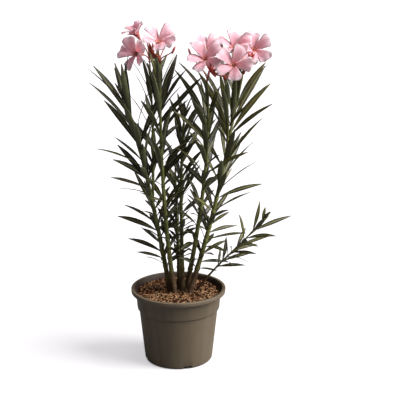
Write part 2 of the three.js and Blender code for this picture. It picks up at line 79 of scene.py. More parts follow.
# Canes: cubic curves from foot to tip, measured from the centre of the mix's surface. A side
# shoot springs from another cane, at a length along it or from its tip.
CANES = {
    "left": dict(foot=(-17, 4, 0), bends=((-36, -7, 130), (-62, -18, 266)), tip=(-94, -30, 391),
                 girth=(5.0, 2.2)),
    "inner_left": dict(foot=(-7, -6, 0), bends=((-29, -13, 152), (-33, -27, 310)), tip=(-31, -42, 468),
                       girth=(5.0, 2.0)),
    "centre_short": dict(foot=(0, 15, 0), bends=((2, 31, 88), (-7, 48, 167)), tip=(-6, 64, 249),
                         girth=(4.2, 1.8)),
    "centre_tall": dict(foot=(9, 5, 0), bends=((7, 20, 122), (2, 31, 236)), tip=(12, 42, 345),
                        girth=(4.6, 1.8)),
    "inner_right": dict(foot=(15, 18, 0), bends=((43, 0, 142), (66, -9, 290)), tip=(57, -20, 430),
                        girth=(5.2, 1.9)),
    "right": dict(foot=(22, -4, 0), bends=((58, 4, 108), (82, 8, 215)), tip=(101, 12, 315), girth=(5.3, 3.0),
                  ripe=(0, 0.8)),
    "low_side": dict(foot=(35, 6, 0), bends=((80, 0, 67), (130, -20, 110)), tip=(164, -38, 163),
                     girth=(2.4, 1.1), ripe=(0, 0.88)),
    "left_branch": dict(springs=("left", 196), bends=((-45, 11, 285), (-50, 32, 370)), tip=(-54, 42, 457),
                        girth=(3.0, 1.8), ripe=(0.45, 1)),
    "right_near": dict(springs=("right", 292), bends=((100, 3, 331), (97, -8, 382)), tip=(91, -20, 433),
                       girth=(2.6, 1.7), ripe=(0.72, 1)),
    "right_far": dict(springs=("right", "tip"), bends=((107, 15, 352), (118, 21, 395)), tip=(126, 26, 436),
                      girth=(2.8, 1.7), ripe=(0.76, 1)),
}

# How much a cane flares at its foot and how far up, and how far under its tip a whorl stands at least.
FLARE = 0.3
FLARE_HEIGHT = 14
TIP_INSET = 4

# The growth rule's sizes: a full leaf, the angle at which it leaves its stem, its share of full
# length as the stem ripens, and how much each of its draws may vary it. A pair is the least value
# and what a draw adds, but sag is its values at the stem's foot and tip. Then come the distances
# that leaves keep, what is tried for a leaf without room, and where all of it is sampled.
LEAF = dict(length=116, width=11.5, per_whorl=3, slim=(0.4, 0.6), low_belly=1.1, blunt=0.9)
SPREAD = dict(foot=66, drop=48, power=1.3)
GROWN = dict(foot=0.48, rise=0.74, fall=0.62, power=8)
VARY = dict(reach=3, spread=30, azimuth=36, roll=64, light=40, length=(0.86, 0.28), sag=(0.10, 0.01),
            sagging=(0.4, 1.2), bend=(4, 8), width=(0.88, 0.24))
CLEAR = dict(leaf=5.5, stem=3.2, sister=3.0, above_mix=18, own_below=12, own_above=14)
TRIES = dict(count=5, turn=12, shorter=0.12)
SAMPLES = dict(along=24, sister_from=8, across=(0, 1, -1, 0.5, -0.5), stem_step=4, petal=6, tube_step=3)

# Masses of foliage, in the order in which they claim their space: the cane, the length along
# it to the first whorl, the step to the next, how it closes up, whorls, leaf size, the seed of
# its leaves and the seed of the few that fill in between the whorls.
MASSES = {
    "left_top": ("left", 312, 27, 0.92, 5, 1.24, 5028, 2095),
    "right_far": ("right_far", 8, 22, 0.92, 5, 1.24, 4782, 278),
    "right_near": ("right_near", 12, 22, 0.93, 5, 1.1, 2135, 209),
    "left_mid": ("left", 209, 30, 0.94, 4, 1.0, 494, 992),
    "left_low": ("left", 58, 30, 1.0, 5, 1.0, 2194, 1490),
    "right_mid": ("right", 202, 31, 0.95, 4, 1.1, 3925, 1295),
    "right_low": ("right", 54, 30, 1.0, 5, 1.0, 576, 2215),
    "low_side": ("low_side", 72, 30, 0.93, 5, 0.74, 1722, 2362),
    "inner_left_top": ("inner_left", 352, 25, 0.92, 5, 1.0, 1168, 1074),
    "inner_right_top": ("inner_right", 334, 25, 0.9, 5, 1.0, 734, 14),
    "left_branch_top": ("left_branch", 132, 27, 0.92, 5, 0.95, 1016, 1611),
    "centre_tall_top": ("centre_tall", 192, 33, 0.94, 6, 0.85, 1607, 1937),
    "inner_left_mid": ("inner_left", 228, 35, 0.95, 4, 1.0, 1372, 592),
    "inner_right_mid": ("inner_right", 214, 35, 0.95, 4, 1.0, 2151, 1313),
    "left_branch_low": ("left_branch", 34, 35, 0.97, 3, 0.95, 200, 2003),
    "centre_short": ("centre_short", 64, 27, 0.97, 7, 0.62, 559, 267),
    "centre_tall_low": ("centre_tall", 88, 36, 0.97, 3, 0.9, 1297, 2336),
    "inner_right_low": ("inner_right", 66, 38, 1.0, 4, 0.95, 1718, 1181),
    "inner_left_low": ("inner_left", 78, 38, 1.0, 4, 0.95, 1506, 1843),
}

# Where the two seeds stand in each row.
SEED, FILLING_SEED = -2, -1

# Masses at whose tips the youngest leaves stand, with their size, then the size and turn of each
# of the rings that they stand in, and how far under the tip.
TIP_LEAVES = {"left_top": 1.0, "centre_tall_top": 0.9, "centre_short": 0.75, "low_side": 0.7}
TIP_RINGS = ((0.62, 0), (0.42, 60))
TIP_DEPTH = 1.5

# An open flower, in millimetres, but for the number of its petals, the degrees by which each is
# turned like a blade, and how much stouter its stalk is at its foot.
FLOWER = dict(petals=5, petal_length=32, petal_width=23, rise=32, recurve=14, pinwheel=18, mouth=2, sunk=2,
              tube=22, joint=1, seat=0.5, stalk=1.1, stalk_flare=1.2, knuckle=2.1)

# A bud's length, and how far it turns from its own way towards its cane's.
BUD_LENGTH = 15
BUD_TURN = 0.5

# For each cluster its cane, its open flowers as (throat, facing, turn, and how far open where that
# isn't all the way), the middles of its buds and those of its spent cups.
BLOSSOM = {
    "left": dict(
        cane="left_branch",
        flowers=[((-79, 34, 515), (-0.5, -0.25, 0.83), 20, 0.62), ((-78, 12, 479), (-0.6, -0.78, 0.2), 38)],
        buds=[(-57, 28, 502)]),
    "inner_left": dict(
        cane="inner_left",
        flowers=[((-33, -36, 506), (0.05, -0.62, 0.78), -26)],
        buds=[(-5, -48, 493), (-24, -8, 496)],
        cups=[(-46, -22, 487)]),
    "inner_right": dict(
        cane="inner_right",
        flowers=[],
        buds=[(24, -20, 486), (60, -30, 447)]),
    "right_near": dict(
        cane="right_near",
        flowers=[((53, -34, 474), (-0.1, -0.82, 0.55), 40), ((105, -48, 465), (0.02, -0.9, 0.42), 60),
                 ((55, 20, 486), (0, -0.45, 0.9), 40)],
        buds=[],
        cups=[(67, -53, 454)]),
    "right_far": dict(
        cane="right_far",
        flowers=[((108, 0, 492), (-0.05, -0.6, 0.8), 18), ((147, 14, 486), (0.2, -0.85, 0.45), 26),
                 ((130, 60, 470), (0.25, 0.9, 0.35), 25)],
        buds=[],
        cups=[(137, -15, 470)]),
}

# What the seeds of chips, bark, leaf tints and petals start from.
LITTER_SEED, CANE_SEED, TINT_SEED, BLOSSOM_SEED = 41, 5, 300, 71

# The bed under the chips: its mesh, its bumps as (length, layer, height), and how it rises at the
# pot's wall.
BED = dict(sides=96, rings=22, low=79.4, depth=25, faces_up=0.9, smooth_under=50, lift=0.2,
           bumps=((19, 0.3, 1.1), (5, 7.1, 0.7)), rim_from=48, rim_width=35, rim_rise=1.5)

# Chips and fibres on the bed. A pair is the least value and what a draw adds to it. rows and
# widths are shares of a chip's length and half width.
CHIP = dict(margin=1.5, length=(2.2, 8), width=(1.2, 2.4), thick=(0.5, 0.7), lie=(0.3, 1.4), slant=0.7,
            roll=0.9, dark=0.82, rarity=3, rows=(-0.5, -0.38, 0.36, 0.5), widths=(0.5, 1, 0.85, 0.35))
FIBRE = dict(margin=5, length=(2, 8), radius=(0.2, 0.3), lie=(0.6, 1.8), wander=(0.6, 0.8), curl=10.4,
             arch=2.2, steps=7)
OFF_CANES = 4.5
DARK_BARK, PALE_WOOD, COIR = range(3)

# How a leaf's tint follows its ripeness, its place to the right on the plant, and chance, and from
# which tint on its rib is bright. Its place to the right is painted light and shade: leaves further
# right, towards the key light, get lighter tints and bright ribs, and those further left darker ones.
TINT = dict(ripeness=1.9, width=130, chance=1.9, start=0.1, bright_from=2)

# The stage: two broad lights, in degrees, then the floor and the camera, in metres and degrees.
KEY = dict(spread=44, turn=78, tilt=52)
TOP = dict(spread=60, turn=0, tilt=6)
FLOOR = dict(size=60.0, cuts=8)
CAMERA = dict(place=(0.0435, -1.9, 0.8493), pitch=15.25, lens=90.1, sensor=36.0, far=100.0)


def screen(red, green, blue):
    """A colour from screen values of 0 to 255, in the linear values that shaders use."""
    def linear(value):
        v = value / 255
        return v / 12.92 if v <= 0.04045 else ((v + 0.055) / 1.055) ** 2.4
    return (linear(red), linear(green), linear(blue), 1.0)


BARK_STREAK = screen(168, 156, 110)
DUST = screen(150, 136, 116)
# The colour that the pot's inward-facing walls are darkened to, by soil stain and painted shade.
SOIL_STAIN_AND_PAINTED_SHADE = screen(44, 27, 18)
BACKDROP = screen(252, 249, 252)

# The gap between a leaf's side veins, and the height at which the bark turns green.
VEIN_GAP = 1.7
BARK_GREEN_FROM = 250


def mix(low, high, share):
    """The value at a share of the way from low to high."""
    return low + (high - low) * share


def drawn(pair, share):
    """A pair's least value, with a share of what may be added to it."""
    return pair[0] + pair[1] * share


def unit(v):
    """A vector's direction, with a length of 1."""
    return v / math.sqrt(float(v @ v))


def sides_of(heading):
    """Two directions that are square to a heading and to each other."""
    side = unit(np.cross(heading, UP if abs(heading[2]) < STEEP else np.array([1.0, 0.0, 0.0])))
    return side, np.cross(heading, side)


def stream(seed):
    """A small repeatable stream of numbers from 0 to 1, the same as the solids use."""
    mask = 0xFFFFFFFF
    state = seed & mask

    def draw():
        nonlocal state
        state = (state + 0x6D2B79F5) & mask
        mixed = ((state ^ (state >> 15)) * (state | 1)) & mask
        mixed ^= (mixed + (((mixed ^ (mixed >> 7)) * (mixed | 61)) & mask)) & mask
        return ((mixed ^ (mixed >> 14)) & mask) / 2 ** 32
    return draw


class Stem:
    """A cubic curve with its length measured along it, and a frame square to it anywhere."""
    STEPS = 400

    def __init__(self, points, girth, ripe=(0, 1)):
        self.points = [np.array(p, float) for p in points]
        self.girth, self.ripe = girth, ripe
        self.lengths = [0.0]
        last = self.points[0]
        for i in range(1, self.STEPS + 1):
            place = self.curve(i / self.STEPS)
            self.lengths.append(self.lengths[-1] + float(np.linalg.norm(place - last)))
            last = place
        self.length = self.lengths[-1]

    def curve(self, t):
        a, b, c, d = self.points
        s = 1 - t
        return s * s * s * a + 3 * s * s * t * b + 3 * s * t * t * c + t * t * t * d

    def frame(self, reach):
        """The point at a length along the stem, and the directions along, beside and behind it."""
        inside = min(max(reach, 0.0), self.length)
        i = min(max(bisect.bisect_left(self.lengths, inside), 1), self.STEPS)
        before, after = self.lengths[i - 1], self.lengths[i]
        t = (i - 1 + (inside - before) / (after - before)) / self.STEPS
        a, b, c, d = self.points
        s = 1 - t
        along = unit(s * s * (b - a) + 2 * s * t * (c - b) + t * t * (d - c))
        side = unit(np.array([1.0, 0.0, 0.0]) - along[0] * along)
        return self.curve(t) + along * (reach - inside), along, side, np.cross(along, side)

    def radius(self, reach):
        return mix(*self.girth, reach / self.length)

    def ripeness(self, reach):
        return mix(*self.ripe, reach / self.length)


def make_canes():
    """Every cane and side shoot as a stem."""
    canes = {}
    for name, c in CANES.items():
        start = c.get("foot")
        if "springs" in c:
            parent, reach = canes[c["springs"][0]], c["springs"][1]
            start = parent.frame(parent.length if reach == "tip" else reach)[0]
        canes[name] = Stem([start, *c["bends"], c["tip"]], c["girth"], c.get("ripe", (0, 1)))
    return canes


def leaf_outline(s):
    """A leaf's share of its full width, at a share of its length."""
    return math.sin(math.pi * s ** LEAF["low_belly"]) ** LEAF["blunt"] if 0 < s < 1 else 0.0


def leaf_growth(ripeness):
    """A leaf's share of its full length. The last leaves at a ripe tip are short."""
    g = GROWN
    return g["foot"] + g["rise"] * ripeness - g["fall"] * ripeness ** g["power"]


class Leaf:
    """One leaf of the growth rule. Every draw is made in the same order as in the solids."""

    def __init__(self, stem, reach, ripeness, azimuth, size, draw):
        v = VARY
        self.root, along, side, back = stem.frame(reach)
        leaving = SPREAD["foot"] - SPREAD["drop"] * ripeness ** SPREAD["power"]
        spread = math.radians(leaving + v["spread"] * (draw() - 0.5))
        azimuth = math.radians(azimuth + v["azimuth"] * (draw() - 0.5))
        self.length = LEAF["length"] * size * leaf_growth(ripeness) * drawn(v["length"], draw())
        roll = math.radians(v["roll"] * (draw() - 0.5))
        sag = mix(*v["sag"], ripeness) * drawn(v["sagging"], draw())
        bend = math.radians(drawn(v["bend"], draw()))
        slim = drawn(LEAF["slim"], min(1.0, self.length / LEAF["length"]))
        self.width = LEAF["width"] * slim * drawn(v["width"], draw())
        outward = side * math.cos(azimuth) + back * math.sin(azimuth)
        first, last = (along * math.cos(a) + outward * math.sin(a) for a in (spread - bend, spread + bend))
        self.middle = self.root + first * (self.length / 2)
        self.tip = self.middle + last * (self.length / 2) - UP * (sag * self.length)
        self.level = np.cross(along, outward)
        self.twist = roll + math.radians(v["light"]) * self.level[1]
        self.ripeness = ripeness
        self.skin = stem.radius(reach)

    def frames(self, shares):
        """Points of the middle line, and the directions across and up, at shares of its length."""
        s = np.asarray(shares, float)[:, None]
        q = 1 - s
        place = q * q * self.root + 2 * q * s * self.middle + s * s * self.tip
        heads = q * (self.middle - self.root) + s * (self.tip - self.middle)
        heads /= np.linalg.norm(heads, axis=1, keepdims=True)
        flat = np.cross(heads, self.level)
        flat /= np.linalg.norm(flat, axis=1, keepdims=True)
        across = np.cross(flat, heads) * math.cos(self.twist) + flat * math.sin(self.twist)
        return place, across, np.cross(heads, across)

    def samples(self):
        """Points on the blade, row by row from its root, for testing what it would touch."""
        shares = [i / (SAMPLES["along"] + 1) for i in range(1, SAMPLES["along"] + 1)]
        place, across, _ = self.frames(shares)
        half = np.array([self.width / 2 * leaf_outline(s) for s in shares])[:, None]
        return np.stack([place + across * half * share for share in SAMPLES["across"]], axis=1)


def nearest(points, others):
    """The distance from each of others to the nearest of points."""
    gaps = points.reshape(-1, 1, 3) - others.reshape(1, -1, 3)
    return np.sqrt((gaps ** 2).sum(-1).min(0))


def whorl_reaches(first, gap, shrink, whorls, length):
    """The lengths along a cane at which its whorls stand."""
    reaches = []
    reach = first
    for i in range(whorls):
        reaches.append(min(reach, length - TIP_INSET))
        reach += gap * shrink ** i
    return reaches


def stem_points(canes, own, reaches):
    """Points along every cane but the stretch that carries the leaves, and how far to keep off."""
    points, keeps = [], []
    low, high = reaches[0] - CLEAR["own_below"], reaches[-1] + CLEAR["own_above"]
    for name, stem in canes.items():
        count = int(stem.length / SAMPLES["stem_step"])
        for i in range(count + 1):
            reach = stem.length * i / count
            if name != own or not low <= reach <= high:
                points.append(stem.frame(reach)[0])
                keeps.append(stem.radius(reach) + CLEAR["stem"])
    return np.array(points), np.array(keeps)


def grow_leaves(canes, cane, reaches, size, seed, standing):
    """Grows whorls among what stands already. A leaf with no room is turned and shortened."""
    stem = canes[cane]
    draw = stream(seed)
    step = 360 / LEAF["per_whorl"]
    turn = step * draw()
    stems, keeps = stem_points(canes, cane, reaches)
    leaves, sisters = [], []

    def fits(rows):
        if rows[..., 2].min() < CLEAR["above_mix"] or (nearest(rows, stems) < keeps).any():
            return False
        low, high = rows.min((0, 1)) - CLEAR["leaf"], rows.max((0, 1)) + CLEAR["leaf"]
        near = standing[((standing > low) & (standing < high)).all(1)]
        if len(near) and nearest(rows, near).min() < CLEAR["leaf"]:
            return False
        outer = rows[SAMPLES["sister_from"]:]
        return all(nearest(outer, sister.reshape(-1, 3)).min() >= CLEAR["sister"] for sister in sisters)

    for whorl, reach in enumerate(reaches):
        for i in range(LEAF["per_whorl"]):
            for attempt in range(TRIES["count"]):
                nudge = TRIES["turn"] * attempt * (1 if attempt % 2 else -1)
                azimuth = turn + step / 2 * whorl + step * i + nudge
                height = reach + VARY["reach"] * (draw() - 0.5)
                shorter = size * (1 - TRIES["shorter"] * attempt)
                leaf = Leaf(stem, height, stem.ripeness(reach), azimuth, shorter, draw)
                rows = leaf.samples()
                if fits(rows):
                    leaves.append(leaf)
                    sisters.append(rows[SAMPLES["sister_from"]:])
                    break
    return leaves


def fill_reaches(first, gap, shrink, whorls, length):
    """The lengths half way between the whorls, where a few more leaves find room."""
    reaches = whorl_reaches(first, gap, shrink, whorls, length)
    return [(low + high) / 2 for low, high in zip(reaches, reaches[1:])]


# How a petal of the solids widens from its claw and rounds off at its end, as shares of its width.
PETAL_SOLID = dict(claw=0.12, widens=1.9, crown=1.35, rounding=0.75)


def petal_half_width(s):
    """Half a petal's width in the solids, which the leaves keep clear of."""
    g = PETAL_SOLID
    share = min(g["claw"] + g["widens"] * s, g["crown"] - g["rounding"] * s ** 3, 1)
    return FLOWER["petal_width"] / 2 * share


class Flower:
    """An open flower: its axis, and a frame for each petal."""

    def __init__(self, throat, facing, turn, opened=1.0):
        self.throat = np.array(throat, float)
        self.width = FLOWER["petal_length"] * opened
        self.forward = unit(np.array(facing, float))
        upright = UP if abs(self.forward[2]) < STEEP else np.array([0.0, 1.0, 0.0])
        self.u = unit(np.cross(upright, self.forward))
        self.v = np.cross(self.forward, self.u)
        self.turn = turn

    def spoke(self, degrees):
        """The direction away from the flower's axis, at an angle round it."""
        angle = math.radians(self.turn + degrees)
        return self.u * math.cos(angle) + self.v * math.sin(angle)

    def petal(self, index, shares):
        """Points of a petal's middle line, and its directions across and up, at shares of its length."""
        f = FLOWER
        s = np.asarray(shares, float)[:, None]
        out = self.spoke(360 / f["petals"] * index)
        level = np.cross(self.forward, out)
        place = (self.throat + out * (f["mouth"] + self.width * s)
                 + self.forward * (f["rise"] * s - f["recurve"] * s * s - f["sunk"]))
        heads = out * self.width + self.forward * (f["rise"] - 2 * f["recurve"] * s)
        heads /= np.linalg.norm(heads, axis=1, keepdims=True)
        face = np.cross(heads, level)
        face /= np.linalg.norm(face, axis=1, keepdims=True)
        lean = math.radians(f["pinwheel"])
        across = level * math.cos(lean) + face * math.sin(lean)
        return place, across, np.cross(heads, across)

    def samples(self):
        """Points on the petals and down the tube."""
        shares = [j / SAMPLES["petal"] for j in range(1, SAMPLES["petal"] + 1)]
        half = np.array([petal_half_width(s) for s in shares])[:, None]
        points = []
        for index in range(FLOWER["petals"]):
            place, across, _ = self.petal(index, shares)
            points += [place + across * half * share for share in SAMPLES["across"]]
        depths = np.arange(0, FLOWER["tube"] + 1, SAMPLES["tube_step"])[:, None]
        return np.concatenate([*points, self.throat - self.forward * depths])


def stalk(knuckle, rising, end, arriving):
    """The stem from a cluster's knuckle to a flower, a bud or a cup."""
    reach = float(np.linalg.norm(knuckle - end)) / 3
    points = [knuckle, knuckle + rising * reach, end - arriving * reach, end]
    return Stem(points, (FLOWER["stalk"] * FLOWER["stalk_flare"], FLOWER["stalk"]))


def bud_heading(place, knuckle, along):
    """The way a bud points: between its own way from the knuckle and the cane's."""
    ahead = unit(place - knuckle)
    return unit(ahead + (along - ahead) * BUD_TURN)


class Cluster:
    """One cluster of blossom on the tip of a cane: its flowers, buds and spent cups on stalks."""

    def __init__(self, canes, cane, flowers, buds, cups=()):
        tip, along, _, _ = canes[cane].frame(canes[cane].length)
        self.knuckle, self.along = tip + along * (GAP + FLOWER["knuckle"]), along
        self.flowers = [Flower(*flower) for flower in flowers]
        down = FLOWER["joint"] - FLOWER["tube"]
        self.stalks = [stalk(self.knuckle, along, flower.throat + flower.forward * down, flower.forward)
                       for flower in self.flowers]
        self.buds = self.on_stalks(buds)
        self.cups = self.on_stalks(cups)

    def on_stalks(self, places):
        """For each place a bud's or cup's middle, the way it points and its stalk."""
        found = []
        for place in places:
            place = np.array(place, float)
            heading = bud_heading(place, self.knuckle, self.along)
            found.append((place, heading, stalk(self.knuckle, self.along, place, heading)))
        return found

    def samples(self):
        """Points that the leaves keep clear of."""
        points = [flower.samples() for flower in self.flowers]
        ends = self.buds + self.cups
        points += [place + heading * (BUD_LENGTH / 2) for place, heading, _ in ends]
        stems = self.stalks + [stem for _, _, stem in ends]
        for stem in stems:
            points += [stem.frame(reach)[0] for reach in np.arange(0, stem.length, SAMPLES["stem_step"])]
        return np.concatenate([np.reshape(p, (-1, 3)) for p in points])


@functools.lru_cache(maxsize=1)
def grow_plant():
    """Canes, clusters of blossom, and the leaves of each mass, grown in the solids' order."""
    canes = make_canes()
    clusters = {name: Cluster(canes, **cluster) for name, cluster in BLOSSOM.items()}
    standing = np.concatenate([cluster.samples() for cluster in clusters.values()])
    leaves = {}
    for rule, seed in ((whorl_reaches, SEED), (fill_reaches, FILLING_SEED)):
        for name, mass in MASSES.items():
            cane, first, gap, shrink, whorls, size = mass[:6]
            reaches = rule(first, gap, shrink, whorls, canes[cane].length)
            grown = grow_leaves(canes, cane, reaches, size, mass[seed], standing)
            leaves.setdefault(name, []).extend(grown)
            if grown:
                standing = np.concatenate([standing, *[leaf.samples().reshape(-1, 3) for leaf in grown]])
    step = 360 / LEAF["per_whorl"]
    for name, size in TIP_LEAVES.items():
        stem = canes[MASSES[name][0]]
        draw = stream(MASSES[name][FILLING_SEED])
        for share, turn in TIP_RINGS:
            for i in range(LEAF["per_whorl"]):
                young = Leaf(stem, stem.length - TIP_DEPTH, 1.0, step * i + turn, size * share, draw)
                leaves[name].append(young)
    return canes, clusters, leaves


class Bundle:
    """Small shapes gathered for one joined mesh: points in millimetres, faces, UVs and slots."""

    def __init__(self, lift=0):
        self.points, self.corners, self.sizes, self.uvs, self.slots = [], [], [], [], []
        self.count, self.lift = 0, lift

    def faces(self, index, uvs, slots):
        """Adds faces of equal size: index is (faces, corners), and uvs matches it."""
        self.corners.append(index.ravel())
        self.sizes.append(np.full(len(index), index.shape[1]))
        self.uvs.append(uvs.reshape(-1, 2))
        self.slots.append(np.broadcast_to(slots, len(index)))

    def tube(self, rings, uvs, slots, root=True, apex=True):
        """Adds a tube of rings that turn anticlockwise, seen from its far end, closed at its ends.

        rings is (rows, ring, 3), uvs is (rows, ring + 1, 2), and slots is one for each strip.
        """
        rows, ring = rings.shape[:2]
        index = self.count + np.arange(rows * ring).reshape(rows, ring)
        index = np.concatenate([index, index[:, :1]], axis=1)
        quads = np.stack([index[:-1, :-1], index[:-1, 1:], index[1:, 1:], index[1:, :-1]], axis=-1)
        maps = np.stack([uvs[:-1, :-1], uvs[:-1, 1:], uvs[1:, 1:], uvs[1:, :-1]], axis=-2)
        strips = np.broadcast_to(slots, (rows - 1, ring))
        self.faces(quads.reshape(-1, 4), maps.reshape(-1, 2), strips.ravel())
        self.points.append(rings.reshape(-1, 3))
        self.count += rows * ring
        for closed, row, turn in ((root, 0, (1, 0)), (apex, rows - 1, (0, 1))):
            if closed:
                ends = index[row]
                pole = np.full(ring, self.count)
                fan = np.stack([pole, ends[turn[0]:ring + turn[0]], ends[turn[1]:ring + turn[1]]], axis=-1)
                edge = [uvs[row, turn[0]:ring + turn[0]], uvs[row, turn[1]:ring + turn[1]]]
                corners = np.stack([(edge[0] + edge[1]) / 2, *edge], axis=-2)
                self.faces(fan, corners, strips[min(row, rows - 2)])
                self.points.append(rings[row].mean(0, keepdims=True))
                self.count += 1

    def make(self, name, materials):
        """Makes one object of everything gathered, smooth, with its shared corners merged."""
        mesh = bpy.data.meshes.new(name)
        points = (np.concatenate(self.points) + UP * self.lift) * MM
        corners, sizes = np.concatenate(self.corners), np.concatenate(self.sizes)
        mesh.vertices.add(len(points))
        mesh.vertices.foreach_set("co", points.astype(np.float32).ravel())
        mesh.loops.add(len(corners))
        mesh.loops.foreach_set("vertex_index", corners.astype(np.int32))
        mesh.polygons.add(len(sizes))
        starts = np.concatenate([[0], np.cumsum(sizes)[:-1]])
        mesh.polygons.foreach_set("loop_start", starts.astype(np.int32))
        mesh.polygons.foreach_set("material_index", np.concatenate(self.slots).astype(np.int32))
        mesh.polygons.foreach_set("use_smooth", np.ones(len(sizes), bool))
        layer = mesh.uv_layers.new(name="Surface")
        layer.data.foreach_set("uv", np.concatenate(self.uvs).astype(np.float32).ravel())
        mesh.update(calc_edges=True)
        merge_doubles(mesh)
        for material in materials:
            mesh.materials.append(material)
        piece = bpy.data.objects.new(name, mesh)
        bpy.context.collection.objects.link(piece)
        return piece


def merge_doubles(mesh, distance=1e-6):
    """Merges corners that lie on each other, within a distance in metres."""
    shape = bmesh.new()
    shape.from_mesh(mesh)
    bmesh.ops.remove_doubles(shape, verts=shape.verts, dist=distance)
    shape.to_mesh(mesh)
    shape.free()


def dressed(piece, slot, *nodes):
    """Settles what a finished piece moves with and hides the solids that it stands for. Its slot, for its
    finish, is not used.
    """
    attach(piece, "root")
    if nodes:
        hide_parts(*nodes)
    return piece


def column(values):
    """Numbers set one under another, to go with rows of points."""
    return np.asarray(values, float)[:, None]


def ring_uvs(reaches, ring, around):
    """UVs of a round tube, in millimetres round it and along it."""
    turn = np.linspace(0, around, ring + 1)
    return np.stack([np.broadcast_to(turn, (len(reaches), ring + 1)),
                     np.broadcast_to(column(reaches), (len(reaches), ring + 1))], axis=-1)


def add_rod(bundle, stem, reaches, radii, slot, ring=8, relief=None):
    """A round rod along a stem. relief gives each ring's share of its radius at angles round it."""
    angles = np.arange(ring) * 2 * math.pi / ring
    rows = []
    for reach, radius in zip(reaches, radii):
        place, _, side, back = stem.frame(reach)
        share = relief(reach, angles) if relief else np.ones(ring)
        spokes = side * column(np.cos(angles)) + back * column(np.sin(angles))
        rows.append(place + spokes * column(radius * share))
    bundle.tube(np.array(rows), ring_uvs(reaches, ring, 2 * math.pi * radii[0]), slot)


def add_spindle(bundle, place, heading, profile, slots, ring=10, twist=0.0, lobes=0, lobe=0.0):
    """A turned shape on an axis: profile is (height, radius) from its foot, slots one or one a row."""
    side, back = sides_of(heading)
    angles = np.arange(ring) * 2 * math.pi / ring
    foot = profile[0][0]
    rows = []
    for height, radius in profile:
        turned = angles + twist * (height - foot)
        share = 1 + lobe * np.cos(lobes * angles)
        spokes = side * column(np.cos(turned)) + back * column(np.sin(turned))
        rows.append(place + heading * height + spokes * column(radius * share))
    heights = [height for height, _ in profile]
    strips = column(np.broadcast_to(slots, len(profile) - 1))
    bundle.tube(np.array(rows), ring_uvs(heights, ring, 1), strips)


# A leaf: its rows as shares of its length, then its cross section as shares of its half width,
# over the upper face and back along the lower. In its shape, petiole, neck, blade and rib are in
# millimetres, twist is in degrees, and the rest are shares.
LEAF_ROWS = (0, 0.03, 0.07, 0.13, 0.21, 0.32, 0.45, 0.58, 0.71, 0.83, 0.92, 0.975)
LEAF_TOP = (1, 0.58, 0.16, -0.16, -0.58, -1)
LEAF_UNDER = (-0.55, -0.14, 0.14, 0.55)
LEAF_SHAPE = dict(petiole=0.95, neck=1.7, neck_end=0.13, blade=0.55, rib=0.55, rib_width=0.2, edge=0.6,
                  fold=(0.34, 0.14), ripe_fold=(0.6, 0.4), curl=0.10, wave=0.05, waves=2.3, twist=24)
BLADE, RIB, UNDERSIDE = 0, 1, 2


def add_leaf(bundle, leaf, slots, draw):
    """One leaf with its stalk, groove and rib, a little wavy. slots is blade, rib and underside."""
    g = LEAF_SHAPE
    s = np.array(LEAF_ROWS)
    place, across, up = leaf.frames(s)
    turn = math.radians(g["twist"]) * (draw() - 0.5) * s[:, None]
    across, up = across * np.cos(turn) + up * np.sin(turn), up * np.cos(turn) - across * np.sin(turn)
    half = np.maximum([leaf.width / 2 * leaf_outline(share) for share in s], g["petiole"])
    fold = mix(*g["fold"], draw()) * drawn(g["ripe_fold"], leaf.ripeness)
    phase = 2 * math.pi * draw()
    ripple = g["wave"] * np.sin(2 * math.pi * g["waves"] * s + phase)
    thick = np.maximum(g["blade"], g["neck"] * (1 - s / g["neck_end"]))

    def surface(shares, lift):
        t = np.array(shares)[None, :]
        height = half[:, None] * (fold * np.abs(t) - g["curl"] * t ** 4 + ripple[:, None] * t) + lift
        wide = (half[:, None] * t)[..., None]
        return place[:, None] + across[:, None] * wide + up[:, None] * height[..., None]

    edge = 1 - g["edge"] * np.abs(np.array(LEAF_TOP)) ** 3
    top = surface(LEAF_TOP, column(thick / 2) * edge[None, :])
    middle = np.abs(np.array(LEAF_UNDER)) < g["rib_width"]
    ridge = column(g["rib"] * (1 - s)) * middle[None, :]
    under = surface(LEAF_UNDER, -column(thick / 2) - ridge)
    shares = np.array((*LEAF_TOP, *LEAF_UNDER, LEAF_TOP[0]))
    uvs = np.stack([half[:, None] * shares[None, :],
                    np.broadcast_to(column(s * leaf.length), (len(s), len(shares)))], axis=-1)
    strips = [slots[BLADE]] * 2 + [slots[RIB]] + [slots[BLADE]] * 2
    strips += [slots[UNDERSIDE]] * (len(LEAF_UNDER) + 1)
    rings = np.concatenate([top, under], axis=1)
    bundle.tube(rings, uvs, strips)


# A petal: its rows as shares of its length and its columns as shares of its half width. In its
# shape, claw, thick, ruffle and recurve are in millimetres, and the rest are shares.
PETAL_ROWS = (0.02, 0.10, 0.22, 0.36, 0.47, 0.58, 0.68, 0.77, 0.85, 0.92, 0.97, 1.0)
PETAL_COLUMNS = (1, 0.82, 0.56, 0.28, 0, -0.28, -0.56, -0.82, -1)
PETAL_SHAPE = dict(claw=3.4, widest=0.84, wide=(1.16, 0.18), swell=0.85, narrowed=0.24, bow=(0.08, 2.6),
                   skew=0.09, less_skewed=0.6, length=(0.88, 0.18), thick=0.45, thinned=0.75, cup=0.16,
                   ruffle=3.0, ruffle_power=2.5, waves=(5, 3), rim=(0.3, 0.7), recurve=4.4,
                   least_curl=0.3, edge_curl=0.4, sway=0.22)


